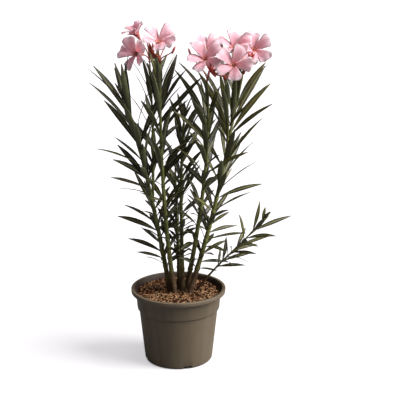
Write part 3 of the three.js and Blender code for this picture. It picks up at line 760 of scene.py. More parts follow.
def add_petal(bundle, flower, index, slots, draw):
    """One petal, broad and blunt with a ruffled edge. slots is its face and its back."""
    g = PETAL_SHAPE
    rows, t = column(PETAL_ROWS), np.array(PETAL_COLUMNS)[None, :]
    over = np.clip((rows - g["widest"]) / (1 - g["widest"]), 0, 1)
    grown = np.clip(rows / g["widest"], 0, 1)
    widest = FLOWER["petal_width"] / 2 * drawn(g["wide"], draw())
    half = (g["claw"] + (widest - g["claw"]) * grown ** g["swell"]) * (1 - g["narrowed"] * over ** 2)
    skew = g["skew"] * (1 if draw() > 0.5 else g["less_skewed"])
    bow, power = g["bow"]
    reach = rows * (1 - bow * np.abs(t) ** power) + skew * t * rows ** 4
    reach = reach * drawn(g["length"], draw())
    phase, curl = 2 * math.pi * draw(), g["recurve"] * (g["least_curl"] + draw())
    place, across, up = flower.petal(index + g["sway"] * (draw() - 0.5), reach.ravel())
    shape = (*reach.shape, 3)
    place, across, up = place.reshape(shape), across.reshape(shape), up.reshape(shape)
    waves = np.sin(g["waves"][0] * t + g["waves"][1] * rows + phase)
    height = (g["cup"] * half * t ** 2 * (1 - rows)
              + g["ruffle"] * rows ** g["ruffle_power"] * waves * drawn(g["rim"], np.abs(t))
              - curl * rows ** 3 * (1 - g["edge_curl"] * t ** 2))
    thick = g["thick"] * (1 - over ** 6) * (1 - g["thinned"] * t ** 4)
    base = place + across * (half * t)[..., None]
    top = base + up * (height + thick / 2)[..., None]
    under = base + up * (height - thick / 2)[..., None]
    back = under[:, -2:0:-1]
    shares = np.array((*PETAL_COLUMNS, *PETAL_COLUMNS[-2:0:-1], PETAL_COLUMNS[0]))
    uvs = np.stack([np.broadcast_to(shares * 0.5 + 0.5, (len(rows), len(shares))),
                    np.broadcast_to(rows, (len(rows), len(shares)))], axis=-1)
    strips = [slots[0]] * (len(PETAL_COLUMNS) - 1) + [slots[1]] * (len(PETAL_COLUMNS) - 1)
    bundle.tube(np.concatenate([top, back], axis=1), uvs, strips, root=True, apex=False)


def add_sliver(bundle, points, across, widths, thick, slot):
    """A thin pointed strip: the points of its middle line, and its half width at each of them."""
    points = np.asarray(points, float)
    heads = np.gradient(points, axis=0)
    heads /= np.linalg.norm(heads, axis=1, keepdims=True)
    up = np.cross(heads, across)
    up /= np.linalg.norm(up, axis=1, keepdims=True)
    wide, high = across * column(widths), up * (thick / 2)
    rings = np.stack([points + wide, points + high, points - wide, points - high], axis=1)
    bundle.tube(rings, ring_uvs(np.linspace(0, 1, len(points)), 4, 1), slot)


# Profiles as (height, radius) along a flower's, a bud's or a spent cup's own axis. Of the strips
# of the funnel, the first FUNNEL_OUTSIDE are seen from outside.
FUNNEL = ((-22, 1.6), (-18, 1.8), (-13, 2.5), (-8, 3.8), (-3.5, 5.4), (-1.2, 6.4), (-0.9, 6.0),
          (-2.6, 4.4), (-4.8, 2.7), (-6.6, 1.4), (-7.6, 0.7))
FUNNEL_OUTSIDE = 5
FUNNEL_RING = 20
STAMENS = ((-7, 0.8), (-4, 1.0), (-1.5, 1.1), (0.4, 0.8), (1.8, 0.35))
BUD_PROFILE = ((-7.5, 0.9), (-6, 1.5), (-3.5, 2.0), (-0.5, 2.35), (2.5, 2.2), (5, 1.5), (6.8, 0.8),
               (7.5, 0.25))
SPENT_PROFILE = ((-15, 1.2), (-9, 2.6), (-2, 4.4), (4, 4.6), (9, 2.4), (12, 0.5))
KNUCKLE_PROFILE = ((-2.6, 1.0), (-1.4, 1.9), (0, 2.2), (1.4, 1.8), (2.4, 0.9))

# How each of them is lobed and twisted.
STAMEN_SHAPE = dict(twist=0.3, lobes=5, lobe=0.18)
BUD_SHAPE = dict(twist=0.22, lobes=5, lobe=0.07)
SPENT_SHAPE = dict(lobes=5, lobe=0.1)
KNUCKLE_SHAPE = dict(lobes=4, lobe=0.12)

# The pointed strips: the fringe at a flower's mouth, the sepals, and the bracts at a knuckle.
# rows and widths are shares along a strip, and a pair in grown is the least size and what a draw
# adds to it.
CORONA = dict(teeth=4, apart=0.17, radius=4.2, height=4.6, grown=(0.65, 0.5), sunk=1.5, flare=2.4,
              width=0.9, thick=0.35, rows=(0, 0.4, 1.0), widths=(1, 0.8, 0.12))
SEPAL = dict(count=5, jitter=0.3, length=6.0, grown=(0.8, 0.4), foot=1.0, stand=2.3, arch=2.0,
             width=1.15, thick=0.7, rows=(0, 0.3, 0.65, 1.0), widths=(0.9, 1.15, 0.8, 0.12))
BRACT = dict(count=3, turn=2.1, tilt=0.1, out=(1.2, 3.4, 5.0), up=(-1, 1.5, 5.5), thick=0.6,
             widths=(1.1, 0.9, 0.15))

# Rings of sepals as (size, lean), and for a spent cup as (place on its axis, size, lean).
OPEN_CUP = (1.0, 0.02)
BUD_CUP = (0.8, 0.0)
SPENT_CUPS = ((2, 2.3, 0.12), (-5, 1.84, 0.3))
BUD_SIZE = (0.85, 0.2)
STALK_SHAPE = dict(fewest=4, step=3, swell=0.35, swell_spread=2.5, spent=2.6)
FACE, BACK, THROAT, CORONA_SLOT, STAMEN, BUD_SLOT, STALK, SEPAL_SLOT = range(8)


def add_cup(bundle, place, heading, size, lean, draw):
    """The ring of pointed sepals at the foot of a flower or a bud, at a share of its full size."""
    g = SEPAL
    side, back = sides_of(heading)
    shares = np.array(g["rows"])
    for i in range(g["count"]):
        angle = 2 * math.pi * (i + g["jitter"] * draw()) / g["count"]
        out = side * math.cos(angle) + back * math.sin(angle)
        length = g["length"] * size * drawn(g["grown"], draw())
        stands = g["foot"] + (g["stand"] * size - g["foot"]) * np.sin(shares * g["arch"])
        radius = stands + lean * shares ** 2 * length
        points = place + heading * column(shares * length) + out * column(radius)
        widths = g["width"] * size * np.array(g["widths"])
        add_sliver(bundle, points, np.cross(heading, out), widths, g["thick"], SEPAL_SLOT)


def add_flower(bundle, flower, draw):
    """An open flower: petals, funnel, the fringe at its mouth, stamens and sepals."""
    throat, forward, petals = flower.throat, flower.forward, FLOWER["petals"]
    for index in range(petals):
        add_petal(bundle, flower, index, (FACE, BACK), draw)
    slots = [BACK if row < FUNNEL_OUTSIDE else THROAT for row in range(len(FUNNEL) - 1)]
    add_spindle(bundle, throat, forward, FUNNEL, slots, ring=FUNNEL_RING)
    g = CORONA
    shares = np.array(g["rows"])
    for index in range(petals):
        for tooth in range(g["teeth"]):
            out = flower.spoke(360 / petals * (index + (tooth - (g["teeth"] - 1) / 2) * g["apart"]))
            height = g["height"] * drawn(g["grown"], draw())
            points = (throat + forward * column(shares * height - g["sunk"])
                      + out * column(g["radius"] + g["flare"] * shares ** 2))
            widths = g["width"] * np.array(g["widths"])
            add_sliver(bundle, points, np.cross(forward, out), widths, g["thick"], CORONA_SLOT)
    add_spindle(bundle, throat, forward, STAMENS, STAMEN, **STAMEN_SHAPE)
    add_cup(bundle, throat - forward * (FLOWER["tube"] + FLOWER["seat"]), forward, *OPEN_CUP, draw)


def add_stalk(bundle, stem, stout=1.0):
    """A stalk, a little swollen where it meets what it carries."""
    g = STALK_SHAPE
    reaches = np.linspace(0, stem.length, max(g["fewest"], int(stem.length / g["step"])))

    def thickness(reach):
        swell = g["swell"] * math.exp(-(stem.length - reach) / g["swell_spread"])
        return stout * stem.radius(reach) * (1 + swell)

    add_rod(bundle, stem, reaches, [thickness(reach) for reach in reaches], STALK)


def add_cluster(bundle, cluster, draw):
    """A cluster on its knuckle: flowers, buds and spent cups on their stalks, and small bracts."""
    add_spindle(bundle, cluster.knuckle, cluster.along, KNUCKLE_PROFILE, STALK, **KNUCKLE_SHAPE)
    for flower, stem in zip(cluster.flowers, cluster.stalks):
        add_flower(bundle, flower, draw)
        add_stalk(bundle, stem)
    for place, heading, stem in cluster.buds:
        size = drawn(BUD_SIZE, draw())
        profile = [(height * size, radius * size) for height, radius in BUD_PROFILE]
        add_spindle(bundle, place, heading, profile, BUD_SLOT, **BUD_SHAPE)
        add_cup(bundle, place - heading * BUD_LENGTH / 2, heading, *BUD_CUP, draw)
        add_stalk(bundle, stem)
    for place, heading, stem in cluster.cups:
        add_spindle(bundle, place, heading, SPENT_PROFILE, SEPAL_SLOT, **SPENT_SHAPE)
        for along, size, lean in SPENT_CUPS:
            add_cup(bundle, place + heading * along, heading, size, lean, draw)
        add_stalk(bundle, stem, STALK_SHAPE["spent"])
    g = BRACT
    for i in range(g["count"]):
        turn = g["turn"] * i
        out = np.cross(cluster.along, [math.cos(turn), math.sin(turn), g["tilt"]])
        points = cluster.knuckle + unit(out) * column(g["out"]) + cluster.along * column(g["up"])
        across = unit(np.cross(cluster.along, out))
        add_sliver(bundle, points, across, g["widths"], g["thick"], STALK)


# A cane, in millimetres and in shares of its radius, and the ridges round it as (height, number,
# start, turn along it).
CANE_SHAPE = dict(ring=16, step=2.0, last_step=0.6, knot=0.20, knot_spread=2.4, collar=0.55,
                  collar_spread=5, buried=12, scar_gap=31, scar_from=16, scar_margin=12, tip=0.35,
                  tip_length=1.6, ridge=0.025)
RIDGES = ((1, 5, 1, 0.02), (0.6, 9, -1, 0.03))


def knots_of(name, stem):
    """The lengths along a cane at which it is swollen: at each whorl, and at the leaf scars below."""
    reaches = []
    for cane, first, gap, shrink, whorls, *_ in MASSES.values():
        if cane == name:
            reaches += whorl_reaches(first, gap, shrink, whorls, stem.length)
    g = CANE_SHAPE
    lowest = min(reaches, default=stem.length)
    scars = np.arange(g["scar_from"], lowest - g["scar_margin"], g["scar_gap"])
    return np.array([*scars, *reaches])


def add_cane(bundle, name, stem, draw):
    """A cane or side shoot with its knots, ridges and flared foot, rounded off at its tip."""
    g = CANE_SHAPE
    rooted = "foot" in CANES[name]
    start = -g["buried"] if rooted else 0.0
    reaches = np.arange(start, stem.length, g["step"])
    reaches = np.array([*reaches, stem.length - g["last_step"], stem.length])
    knots = knots_of(name, stem)
    phase = 2 * math.pi * draw()

    def thickness(reach):
        above = max(reach, 0.0)
        swell = 1 + g["knot"] * float(np.exp(-((above - knots) / g["knot_spread"]) ** 2).sum())
        if rooted:
            swell += FLARE * math.exp(-above / FLARE_HEIGHT)
        else:
            swell += g["collar"] * math.exp(-above / g["collar_spread"])
        tip = min(1.0, g["tip"] + (stem.length - reach) / g["tip_length"])
        return stem.radius(above) * swell * tip

    def relief(reach, angles):
        waves = sum(height * np.sin(count * angles + start * phase + turn * reach)
                    for height, count, start, turn in RIDGES)
        return 1 + g["ridge"] * waves

    radii = [thickness(reach) for reach in reaches]
    add_rod(bundle, stem, reaches, radii, 0, ring=g["ring"], relief=relief)


def bed_height(x, y):
    """The height of the mix's surface, in millimetres, a little rough and higher at its rim."""
    g = BED
    height = MIX_TOP + g["lift"]
    height += max(0.0, (math.hypot(x, y) - g["rim_from"]) / g["rim_width"]) * g["rim_rise"]
    for length, layer, rise in g["bumps"]:
        height += rise * noise.noise(Vector((x / length, y / length, layer)))
    return height


def scattered(draw, feet, radius):
    """A place on the bed, off the canes' feet."""
    while True:
        angle, reach = 2 * math.pi * draw(), radius * math.sqrt(draw())
        x, y = reach * math.cos(angle), reach * math.sin(angle)
        if all(math.hypot(x - foot[0], y - foot[1]) > OFF_CANES for foot in feet):
            return x, y


def add_chip(bundle, place, draw, slot, length, width, thick):
    """A flat broken chip of bark, lying at a slant."""
    g = CHIP
    turn, slant = 2 * math.pi * draw(), g["slant"] * (draw() - 0.5)
    level = math.cos(slant)
    ahead = np.array([math.cos(turn) * level, math.sin(turn) * level, math.sin(slant)])
    across = unit(np.cross(UP, ahead) + UP * g["roll"] * (draw() - 0.5))
    points = place + ahead * column(g["rows"]) * length
    add_sliver(bundle, points, across, width / 2 * np.array(g["widths"]), thick, slot)


def add_fibre(bundle, place, draw, slot, length, radius):
    """A curled fibre of coir lying on the bed."""
    g = FIBRE
    steps = g["steps"]
    turn, curl, lift = 2 * math.pi * draw(), g["curl"] * (draw() - 0.5), g["arch"] * draw()
    rows, heading, point = [], turn, np.array(place, float)
    for i in range(steps):
        rows.append(point + UP * lift * math.sin(math.pi * i / (steps - 1)))
        heading += curl / steps * drawn(g["wander"], draw())
        point = point + np.array([math.cos(heading), math.sin(heading), 0]) * length / steps
    flat = np.array([-math.sin(turn), math.cos(turn), 0.0])
    add_sliver(bundle, rows, flat, np.full(steps, radius), 2 * radius, slot)


class Tree:
    """Adds shader nodes to a tree and joins them."""

    def __init__(self, tree):
        self.tree = tree

    def put(self, socket, value):
        """Links or sets a socket."""
        if isinstance(value, bpy.types.NodeSocket):
            self.tree.links.new(value, socket)
        else:
            socket.default_value = value

    def add(self, kind, inputs=None, **settings):
        """Adds a node with its settings, and fills its inputs."""
        node = self.tree.nodes.new("ShaderNode" + kind)
        for key, value in settings.items():
            setattr(node, key, value)
        for key, value in (inputs or {}).items():
            self.put(node.inputs[key], value)
        return node

    def math(self, operation, *values):
        node = self.add("Math", operation=operation)
        for socket, value in zip(node.inputs, values):
            self.put(socket, value)
        return node.outputs[0]

    def times(self, first, second):
        return self.math("MULTIPLY", first, second)

    def grain(self, vector, scale, detail):
        """Noise at some coordinates."""
        return self.add("TexNoise", {"Vector": vector, "Scale": scale, "Detail": detail}).outputs[0]

    def between(self, value, low, high):
        """How far a value has come from low to high, from 0 to 1."""
        return self.add("MapRange", {"Value": value, "From Min": low, "From Max": high}).outputs[0]

    def bump(self, height, strength, depth):
        """A normal that follows a height."""
        return self.add("Bump", {"Height": height, "Strength": strength, "Distance": depth}).outputs[0]

    def blend(self, share, low, high):
        """A colour between two, by a share from 0 to 1."""
        node = self.add("Mix", data_type="RGBA")
        for socket, value in ((0, share), (6, low), (7, high)):
            self.put(node.inputs[socket], value)
        return node.outputs[2]

    def ramp(self, share, stops):
        """A colour from stops of (position, colour)."""
        node = self.add("ValToRGB", {"Fac": share})
        elements = node.color_ramp.elements
        while len(elements) < len(stops):
            elements.new(0.5)
        for element, (position, colour) in zip(elements, stops):
            element.position = position
            element.color = colour
        return node.outputs[0]


def effect_group(name, inputs, outputs, build):
    """A node group, made once: build gets its tree, its input sockets and its output node."""
    found = bpy.data.node_groups.get(name)
    if found:
        return found
    group = bpy.data.node_groups.new(name, "ShaderNodeTree")
    for label, kind, default in inputs:
        socket = group.interface.new_socket(name=label, in_out="INPUT", socket_type=kind)
        if default is not None:
            socket.default_value = default
    for label, kind in outputs:
        group.interface.new_socket(name=label, in_out="OUTPUT", socket_type=kind)
    tree = Tree(group)
    build(tree, group.nodes.new("NodeGroupInput").outputs, group.nodes.new("NodeGroupOutput").inputs)
    return group


# The group of two noises that the mottling is: the finer one's scale, how much each counts, and the
# range that is stretched to a mask.
MOTTLE = dict(finer=5.3, broad=0.7, fine=0.3, broad_detail=3.0, fine_detail=2.0, low=0.36, high=0.64)
SKIN_DETAIL = 4.0


def mottle_group():
    """Soft patches with finer ones in them, as a mask from 0 to 1."""
    def build(tree, given, result):
        g = MOTTLE
        broad = tree.grain(given["Vector"], given["Scale"], g["broad_detail"])
        fine = tree.grain(given["Vector"], tree.times(given["Scale"], g["finer"]), g["fine_detail"])
        both = tree.math("ADD", tree.times(broad, g["broad"]), tree.times(fine, g["fine"]))
        tree.put(result["Mask"], tree.between(both, g["low"], g["high"]))
    inputs = [("Vector", "NodeSocketVector", None), ("Scale", "NodeSocketFloat", 60.0)]
    return effect_group("Mottling", inputs, [("Mask", "NodeSocketFloat")], build)


def relief_group():
    """A fine bumpy skin, as a normal."""
    def build(tree, given, result):
        grain = tree.grain(given["Vector"], given["Scale"], SKIN_DETAIL)
        tree.put(result["Normal"], tree.bump(grain, given["Strength"], given["Depth"]))
    inputs = [("Vector", "NodeSocketVector", None), ("Scale", "NodeSocketFloat", 800.0),
              ("Strength", "NodeSocketFloat", 0.4), ("Depth", "NodeSocketFloat", 0.0004)]
    return effect_group("Skin Relief", inputs, [("Normal", "NodeSocketVector")], build)


class Finish(Tree):
    """A material under construction, with its shader and the coordinates that patterns use."""

    def __init__(self, name, roughness, **constants):
        self.material = bpy.data.materials.new(name)
        self.material.use_nodes = True
        super().__init__(self.material.node_tree)
        self.tree.nodes.clear()
        self.shader = self.add("BsdfPrincipled", {"Roughness": roughness})
        for label, value in constants.items():
            self.shader.inputs[label.replace("_", " ")].default_value = value
        output = self.add("OutputMaterial")
        self.put(output.inputs["Surface"], self.shader.outputs[0])
        coordinates = self.add("TexCoord")
        self.place, self.surface = coordinates.outputs["Object"], coordinates.outputs["UV"]

    def set(self, label, value):
        self.put(self.shader.inputs[label], value)

    def mottle(self, scale):
        """A mask of soft patches."""
        given = {"Vector": self.place, "Scale": scale}
        return self.add("Group", given, node_tree=mottle_group()).outputs["Mask"]

    def relief(self, scale, depth, strength=0.5):
        """Gives the surface a fine bumpy skin."""
        given = {"Vector": self.place, "Scale": scale, "Depth": depth, "Strength": strength}
        self.set("Normal", self.add("Group", given, node_tree=relief_group()).outputs["Normal"])

    def stretched(self, vector, scale):
        return self.add("Mapping", {"Vector": vector, "Scale": scale}).outputs[0]

    def streaks(self, vector, stretch, detail):
        """Noise that is drawn out along some of its axes."""
        return self.grain(self.stretched(vector, stretch), 1.0, detail)

    def toned(self, share, colour, darkest, lightest):
        """A colour between two tones of itself."""
        return self.blend(share, shade(colour, darkest), shade(colour, lightest))

    def rough(self, share, low, high):
        """Lets the roughness follow a share."""
        node = self.add("MapRange", {"Value": share, "To Min": low, "To Max": high})
        self.set("Roughness", node.outputs[0])


def shade(colour, factor):
    """The same colour, darker or lighter."""
    return (*[min(1.0, c * factor) for c in colour[:3]], 1.0)


# Each finish's numbers. tones are a colour's darkest and lightest shares, patch is the scale of its
# mottling, relief is (scale, depth, strength) and bump is (strength, depth), with depths in metres.
LEAF_LOOK = dict(roughness=0.4, gloss=0.38, patch=55.0, tones=(0.82, 1.2), slant=-0.5, sharpness=4.0,
                 vein_tone=1.9, rough=(0.36, 0.5), bump=(0.25, 0.00008))
RIB_LOOK = dict(roughness=0.45, patch=90.0, tones=(0.8, 1.15), relief=(900.0, 0.0001))
PETAL_LOOK = dict(roughness=0.6, stops=(0.08, 0.22, 0.55, 0.97), foot_tone=0.92, stretch=(13.0, 1.2, 1.0),
                  detail=2.0, streaks=(0.48, 0.68), fading=0.7, streak_tone=0.55,
                  relief=(420.0, 0.0002, 0.35))
PETAL_SHINE = dict(Subsurface_Weight=0.8, Subsurface_Scale=0.003, Subsurface_Radius=(1.0, 0.7, 0.7),
                   Specular_IOR_Level=0.3)
BARK_LOOK = dict(roughness=0.6, patch=70.0, unevenness=0.06, stops=(0.0, 0.2, 0.55, 1.0), foot_tone=0.5,
                 stretch=(1.4, 0.10, 1.0), detail=4.0, pale=(0.5, 0.7), streak=0.35, stain=0.25,
                 rough=(0.5, 0.72), bump=(0.6, 0.0004))
# In the pot's look, stain is how far its inside is darkened, by soil stain and painted shade.
POT_LOOK = dict(gloss=0.3, flow=(60.0, 60.0, 5.0), flow_detail=5.0, flow_range=(0.3, 0.7),
                tones=(0.86, 1.12), inside=(0.0, -0.05), stain=0.95, patch=45.0, dust=0.08,
                scuffs=(900.0, 900.0, 260.0), scuff_detail=3.0, matt=1.5, smoother=0.12, rougher=0.14,
                bump=(0.25, 0.0002))
# The floor's last number is how far inside the pot's foot its glow has faded out, as a painted shadow under
# the pot.
FLOOR_LOOK = dict(roughness=0.9, patch=3.0, tone=0.99, painted_shade_within=0.94)

# The strength of a leaf's veins above and below, and of a petal's streaks on its face and back. Then
# the tones of a dull rib, of a petal's back and its middle part there, and of the throat's fringe.
VEINS = dict(above=0.16, below=0.1)
STREAKS = dict(face=0.5, back=0.6)
DULL_RIB = 0.55
BACK_TONES = dict(pale=0.9, pink=0.88)
FRINGE_TONE = 0.95

# The plain finishes: spread is how far the mottling goes from the colour, and scale is how fine it
# is. The skin is SKIN_FINER times as fine, and depth is its depth in metres.
PLAIN = {
    "Fine mix": dict(roughness=0.95, gloss=0.12, scale=420.0, depth=0.0012, spread=0.45),
    "Dark bark": dict(roughness=0.85, gloss=0.12, scale=500.0, depth=0.0003, spread=0.4),
    "Pale wood": dict(roughness=0.8, gloss=0.12, scale=500.0, depth=0.0003, spread=0.25),
    "Coir fibre": dict(roughness=0.8, gloss=0.12, scale=500.0, depth=0.0002, spread=0.2),
    "Flower throat": dict(roughness=0.5, gloss=0.5, scale=300.0, depth=0.0001, spread=0.25),
    "Throat fringe": dict(roughness=0.5, gloss=0.5, scale=300.0, depth=0.0001, spread=0.25),
    "Stamens": dict(roughness=0.6, gloss=0.5, scale=600.0, depth=0.0002, spread=0.25),
    "Bud": dict(roughness=0.5, gloss=0.5, scale=260.0, depth=0.0002, spread=0.3),
    "Flower stalk": dict(roughness=0.55, gloss=0.5, scale=200.0, depth=0.0002, spread=0.3),
    "Sepal": dict(roughness=0.5, gloss=0.5, scale=300.0, depth=0.0002, spread=0.3),
}
SKIN_FINER = 4


def leaf_finish(name, colour, veins):
    """A leathery blade: soft mottling, and fine side veins that slant from the rib to the edge."""
    g = LEAF_LOOK
    look = Finish(name, g["roughness"], Specular_IOR_Level=g["gloss"])
    across, along, _ = look.add("SeparateXYZ", {"Vector": look.surface}).outputs
    slant = look.math("ADD", along, look.times(look.math("ABSOLUTE", across), g["slant"]))
    lines = look.math("ABSOLUTE", look.math("SINE", look.times(slant, math.pi / VEIN_GAP)))
    vein = look.math("POWER", look.math("SUBTRACT", 1.0, lines), g["sharpness"])
    mask = look.mottle(g["patch"])
    base = look.toned(mask, colour, *g["tones"])
    look.set("Base Color", look.blend(look.times(vein, veins), base, shade(colour, g["vein_tone"])))
    look.rough(mask, *g["rough"])
    look.set("Normal", look.bump(vein, *g["bump"]))
    return look.material


def rib_finish(name, colour):
    """The rib on a leaf's upper side."""
    g = RIB_LOOK
    look = Finish(name, g["roughness"])
    look.set("Base Color", look.toned(look.mottle(g["patch"]), colour, *g["tones"]))
    look.relief(*g["relief"])
    return look.material


def petal_finish(name, pale, pink, throat, depth):
    """Thin petals: coral at the throat, paler outwards, with fine streaks that run out from it."""
    g = PETAL_LOOK
    look = Finish(name, g["roughness"], **PETAL_SHINE)
    out = look.add("SeparateXYZ", {"Vector": look.surface}).outputs[1]
    ground = look.ramp(out, list(zip(g["stops"], (throat, shade(pink, g["foot_tone"]), pink, pale))))
    lines = look.between(look.streaks(look.surface, g["stretch"], g["detail"]), *g["streaks"])
    fade = look.times(lines, look.math("SUBTRACT", 1.0, look.times(out, g["fading"])))
    look.set("Base Color", look.blend(look.times(fade, depth), ground, shade(pink, g["streak_tone"])))
    look.relief(*g["relief"])
    return look.material


def plain_finish(name, colour):
    """A mottled, finely uneven surface in one colour."""
    g = PLAIN[name]
    colour = tuple(colour)
    look = Finish(name, g["roughness"], Specular_IOR_Level=g["gloss"])
    mask = look.mottle(g["scale"])
    look.set("Base Color", look.toned(mask, colour, 1 - g["spread"], 1 + g["spread"]))
    look.relief(g["scale"] * SKIN_FINER, g["depth"])
    return look.material


def bark_finish(name, foot, middle, tip):
    """Brown and grey at the foot, olive higher up and green at the tips, with long pale streaks."""
    g = BARK_LOOK
    look = Finish(name, g["roughness"])
    height = look.add("SeparateXYZ", {"Vector": look.place}).outputs[2]
    patch = look.mottle(g["patch"])
    raised = look.math("ADD", height, look.times(look.math("SUBTRACT", patch, 0.5), g["unevenness"]))
    share = look.between(raised, MIX_TOP * MM, BARK_GREEN_FROM * MM)
    dark = shade(foot, g["foot_tone"])
    ground = look.ramp(share, list(zip(g["stops"], (dark, foot, middle, tip))))
    grooves = look.streaks(look.surface, g["stretch"], g["detail"])
    pale = look.between(grooves, *g["pale"])
    streaked = look.blend(look.times(pale, g["streak"]), ground, BARK_STREAK)
    look.set("Base Color", look.blend(look.times(patch, g["stain"]), streaked, dark))
    look.rough(patch, *g["rough"])
    look.set("Normal", look.bump(grooves, *g["bump"]))
    return look.material


def pot_finish(name, colour, roughness):
    """Moulded plastic: faint upright flow marks, fine scuffs, a matt inside darkened by soil stain and
    painted shade, and dust.
    """
    g = POT_LOOK
    look = Finish(name, roughness, Specular_IOR_Level=g["gloss"])
    flow = look.streaks(look.place, g["flow"], g["flow_detail"])
    plastic = look.toned(look.between(flow, *g["flow_range"]), colour, *g["tones"])
    normal = look.add("NewGeometry").outputs["Normal"]
    outward = look.add("VectorMath", operation="DOT_PRODUCT")
    look.put(outward.inputs[0], look.stretched(normal, (1.0, 1.0, 0.0)))
    look.put(outward.inputs[1], look.place)
    inside = look.between(outward.outputs["Value"], *g["inside"])
    # Painted shade with soil stain: the inward-facing walls are darkened.
    ground = look.blend(look.times(inside, g["stain"]), plastic, SOIL_STAIN_AND_PAINTED_SHADE)
    facing = look.add("SeparateXYZ", {"Vector": normal}).outputs[2]
    dust = look.times(look.math("MAXIMUM", facing, 0.0), look.mottle(g["patch"]))
    look.set("Base Color", look.blend(look.times(dust, g["dust"]), ground, DUST))
    scuffs = look.streaks(look.place, g["scuffs"], g["scuff_detail"])
    matt = look.math("ADD", scuffs, look.times(inside, g["matt"]))
    look.rough(matt, roughness - g["smoother"], roughness + g["rougher"])
    look.set("Normal", look.bump(scuffs, *g["bump"]))
    return look.material


def colour_property(name, description, tone):
    """A colour that can be picked in the sidebar."""
    return FloatVectorProperty(name=name, description=description, subtype="COLOR", size=4, min=0.0,
                               max=1.0, default=tone)


def number_property(name, description, default, least=0.0, most=100.0):
    """A number that can be set in the sidebar."""
    return FloatProperty(name=name, description=description, default=default, min=least, max=most)


def count_property(name, description, default, least, most):
    """A whole number that can be set in the sidebar."""
    return IntProperty(name=name, description=description, default=default, min=least, max=most)


def floor_finish(name, colour, bounce, glow, takes):
    """A pale sheet lit from below: it glows to the eye, takes soft shadows, throws little light back, and
    has a painted shadow under the pot, where its glow fades out."""
    g = FLOOR_LOOK
    look = Finish(name, g["roughness"])
    seen = look.add("LightPath").outputs["Is Camera Ray"]
    look.set("Base Color", look.blend(seen, shade(colour, bounce), shade(colour, takes)))
    look.set("Emission Color", look.toned(look.mottle(g["patch"]), colour, g["tone"], 1.0))
    away = look.add("VectorMath", operation="LENGTH")
    look.put(away.inputs[0], look.place)
    # Painted shadow under the pot: the glow fades out within the pot's foot, so the floor is dark there and
    # in the drain notches.
    foot = POT["foot"] * MM
    clear = look.between(away.outputs["Value"], foot * g["painted_shade_within"], foot)
    look.set("Emission Strength", look.times(look.times(seen, glow), clear))
    return look.material


class PotSettings(bpy.types.PropertyGroup):
    """Sizes and colour of the pot."""
    colour: colour_property("Plastic", "Colour of the moulded pot", screen(97, 85, 69))
    roughness: number_property("Roughness", "How dull the plastic is", 0.5, 0.1, 0.9)
    sides: count_property("Sides", "Steps round the pot", 144, 48, 256)
    edge: FloatProperty(name="Edge", description="Rounding of the pot's edges", default=0.0005,
                        min=0.0001, max=0.0012, subtype="DISTANCE", unit="LENGTH")


class MixSettings(bpy.types.PropertyGroup):
    """What lies on the bed."""
    soil: colour_property("Soil", "Colour of the fine mix", screen(52, 25, 11))
    bark: colour_property("Dark bark", "Colour of the dark chips", screen(54, 28, 13))
    wood: colour_property("Pale wood", "Colour of the pale chips", screen(164, 112, 70))
    coir: colour_property("Fibre", "Colour of the curled fibres", screen(210, 166, 124))
    chips: count_property("Chips", "Number of chips", 3000, 200, 6000)
    fibres: count_property("Fibres", "Number of fibres", 800, 100, 3000)


class CaneSettings(bpy.types.PropertyGroup):
    """Colours of the bark."""
    foot: colour_property("Foot", "Bark at the foot of the canes", screen(86, 58, 36))
    middle: colour_property("Middle", "Bark half way up", screen(104, 104, 48))
    tip: colour_property("Tip", "Green bark at the tips", screen(98, 104, 44))


class LeafSettings(bpy.types.PropertyGroup):
    """Colours of the leaves."""
    # Each tint goes to leaves by ripeness and chance, and by painted light and shade: the darker tints also
    # to leaves further left, the lighter ones to leaves further right.
    darkest: colour_property("Darkest", "The oldest leaves", screen(30, 26, 17))
    dark: colour_property("Dark", "Old leaves", screen(37, 34, 20))
    middling: colour_property("Middling", "Full-grown leaves", screen(51, 48, 24))
    young: colour_property("Young", "The youngest leaves", screen(75, 72, 34))
    rib: colour_property("Rib", "The rib on the upper side", screen(112, 112, 64))
    underside: colour_property("Underside", "The paler lower side", screen(80, 82, 54))


class BlossomSettings(bpy.types.PropertyGroup):
    """Colours of the blossom."""
    pale: colour_property("Petal edge", "The petals' outer part", screen(236, 187, 196))
    pink: colour_property("Petal", "The petals' middle part", screen(222, 152, 163))
    throat: colour_property("Throat", "The petals' foot and the funnel", screen(206, 116, 106))
    bud: colour_property("Bud", "Closed buds", screen(186, 92, 88))
    stalk: colour_property("Stalk", "Flower stalks", screen(146, 62, 44))
    sepal: colour_property("Sepal", "The cup at a flower's foot", screen(168, 58, 46))
    stamen: colour_property("Stamen", "The cone in the throat", screen(236, 186, 140))


class StageSettings(bpy.types.PropertyGroup):
    """Floor and lights."""
    floor: colour_property("Floor", "Colour of the floor", screen(255, 252, 255))
    bounce: number_property("Bounce", "How much light the floor throws back on the plant", 0.2, most=1.0)
    glow: number_property("Glow", "How brightly the floor is lit from below", 0.5)
    takes: number_property("Shadow", "How strongly the floor takes shadows", 0.42, most=1.0)
    key: number_property("Key", "Strength of the light from the right", 6.8)
    top: number_property("Top", "Strength of the light from above", 1.6)
    fill: number_property("Fill", "Strength of the light all round", 0.04)


SETTINGS = {
    "oleander_pot": PotSettings,
    "oleander_mix": MixSettings,
    "oleander_canes": CaneSettings,
    "oleander_leaves": LeafSettings,
    "oleander_blossom": BlossomSettings,
    "oleander_stage": StageSettings,
}


def quarter(steps):
    """The sines and cosines of a quarter turn, step by step."""
    for i in range(steps + 1):
        angle = i / steps * math.pi / 2
        yield math.sin(angle), math.cos(angle)


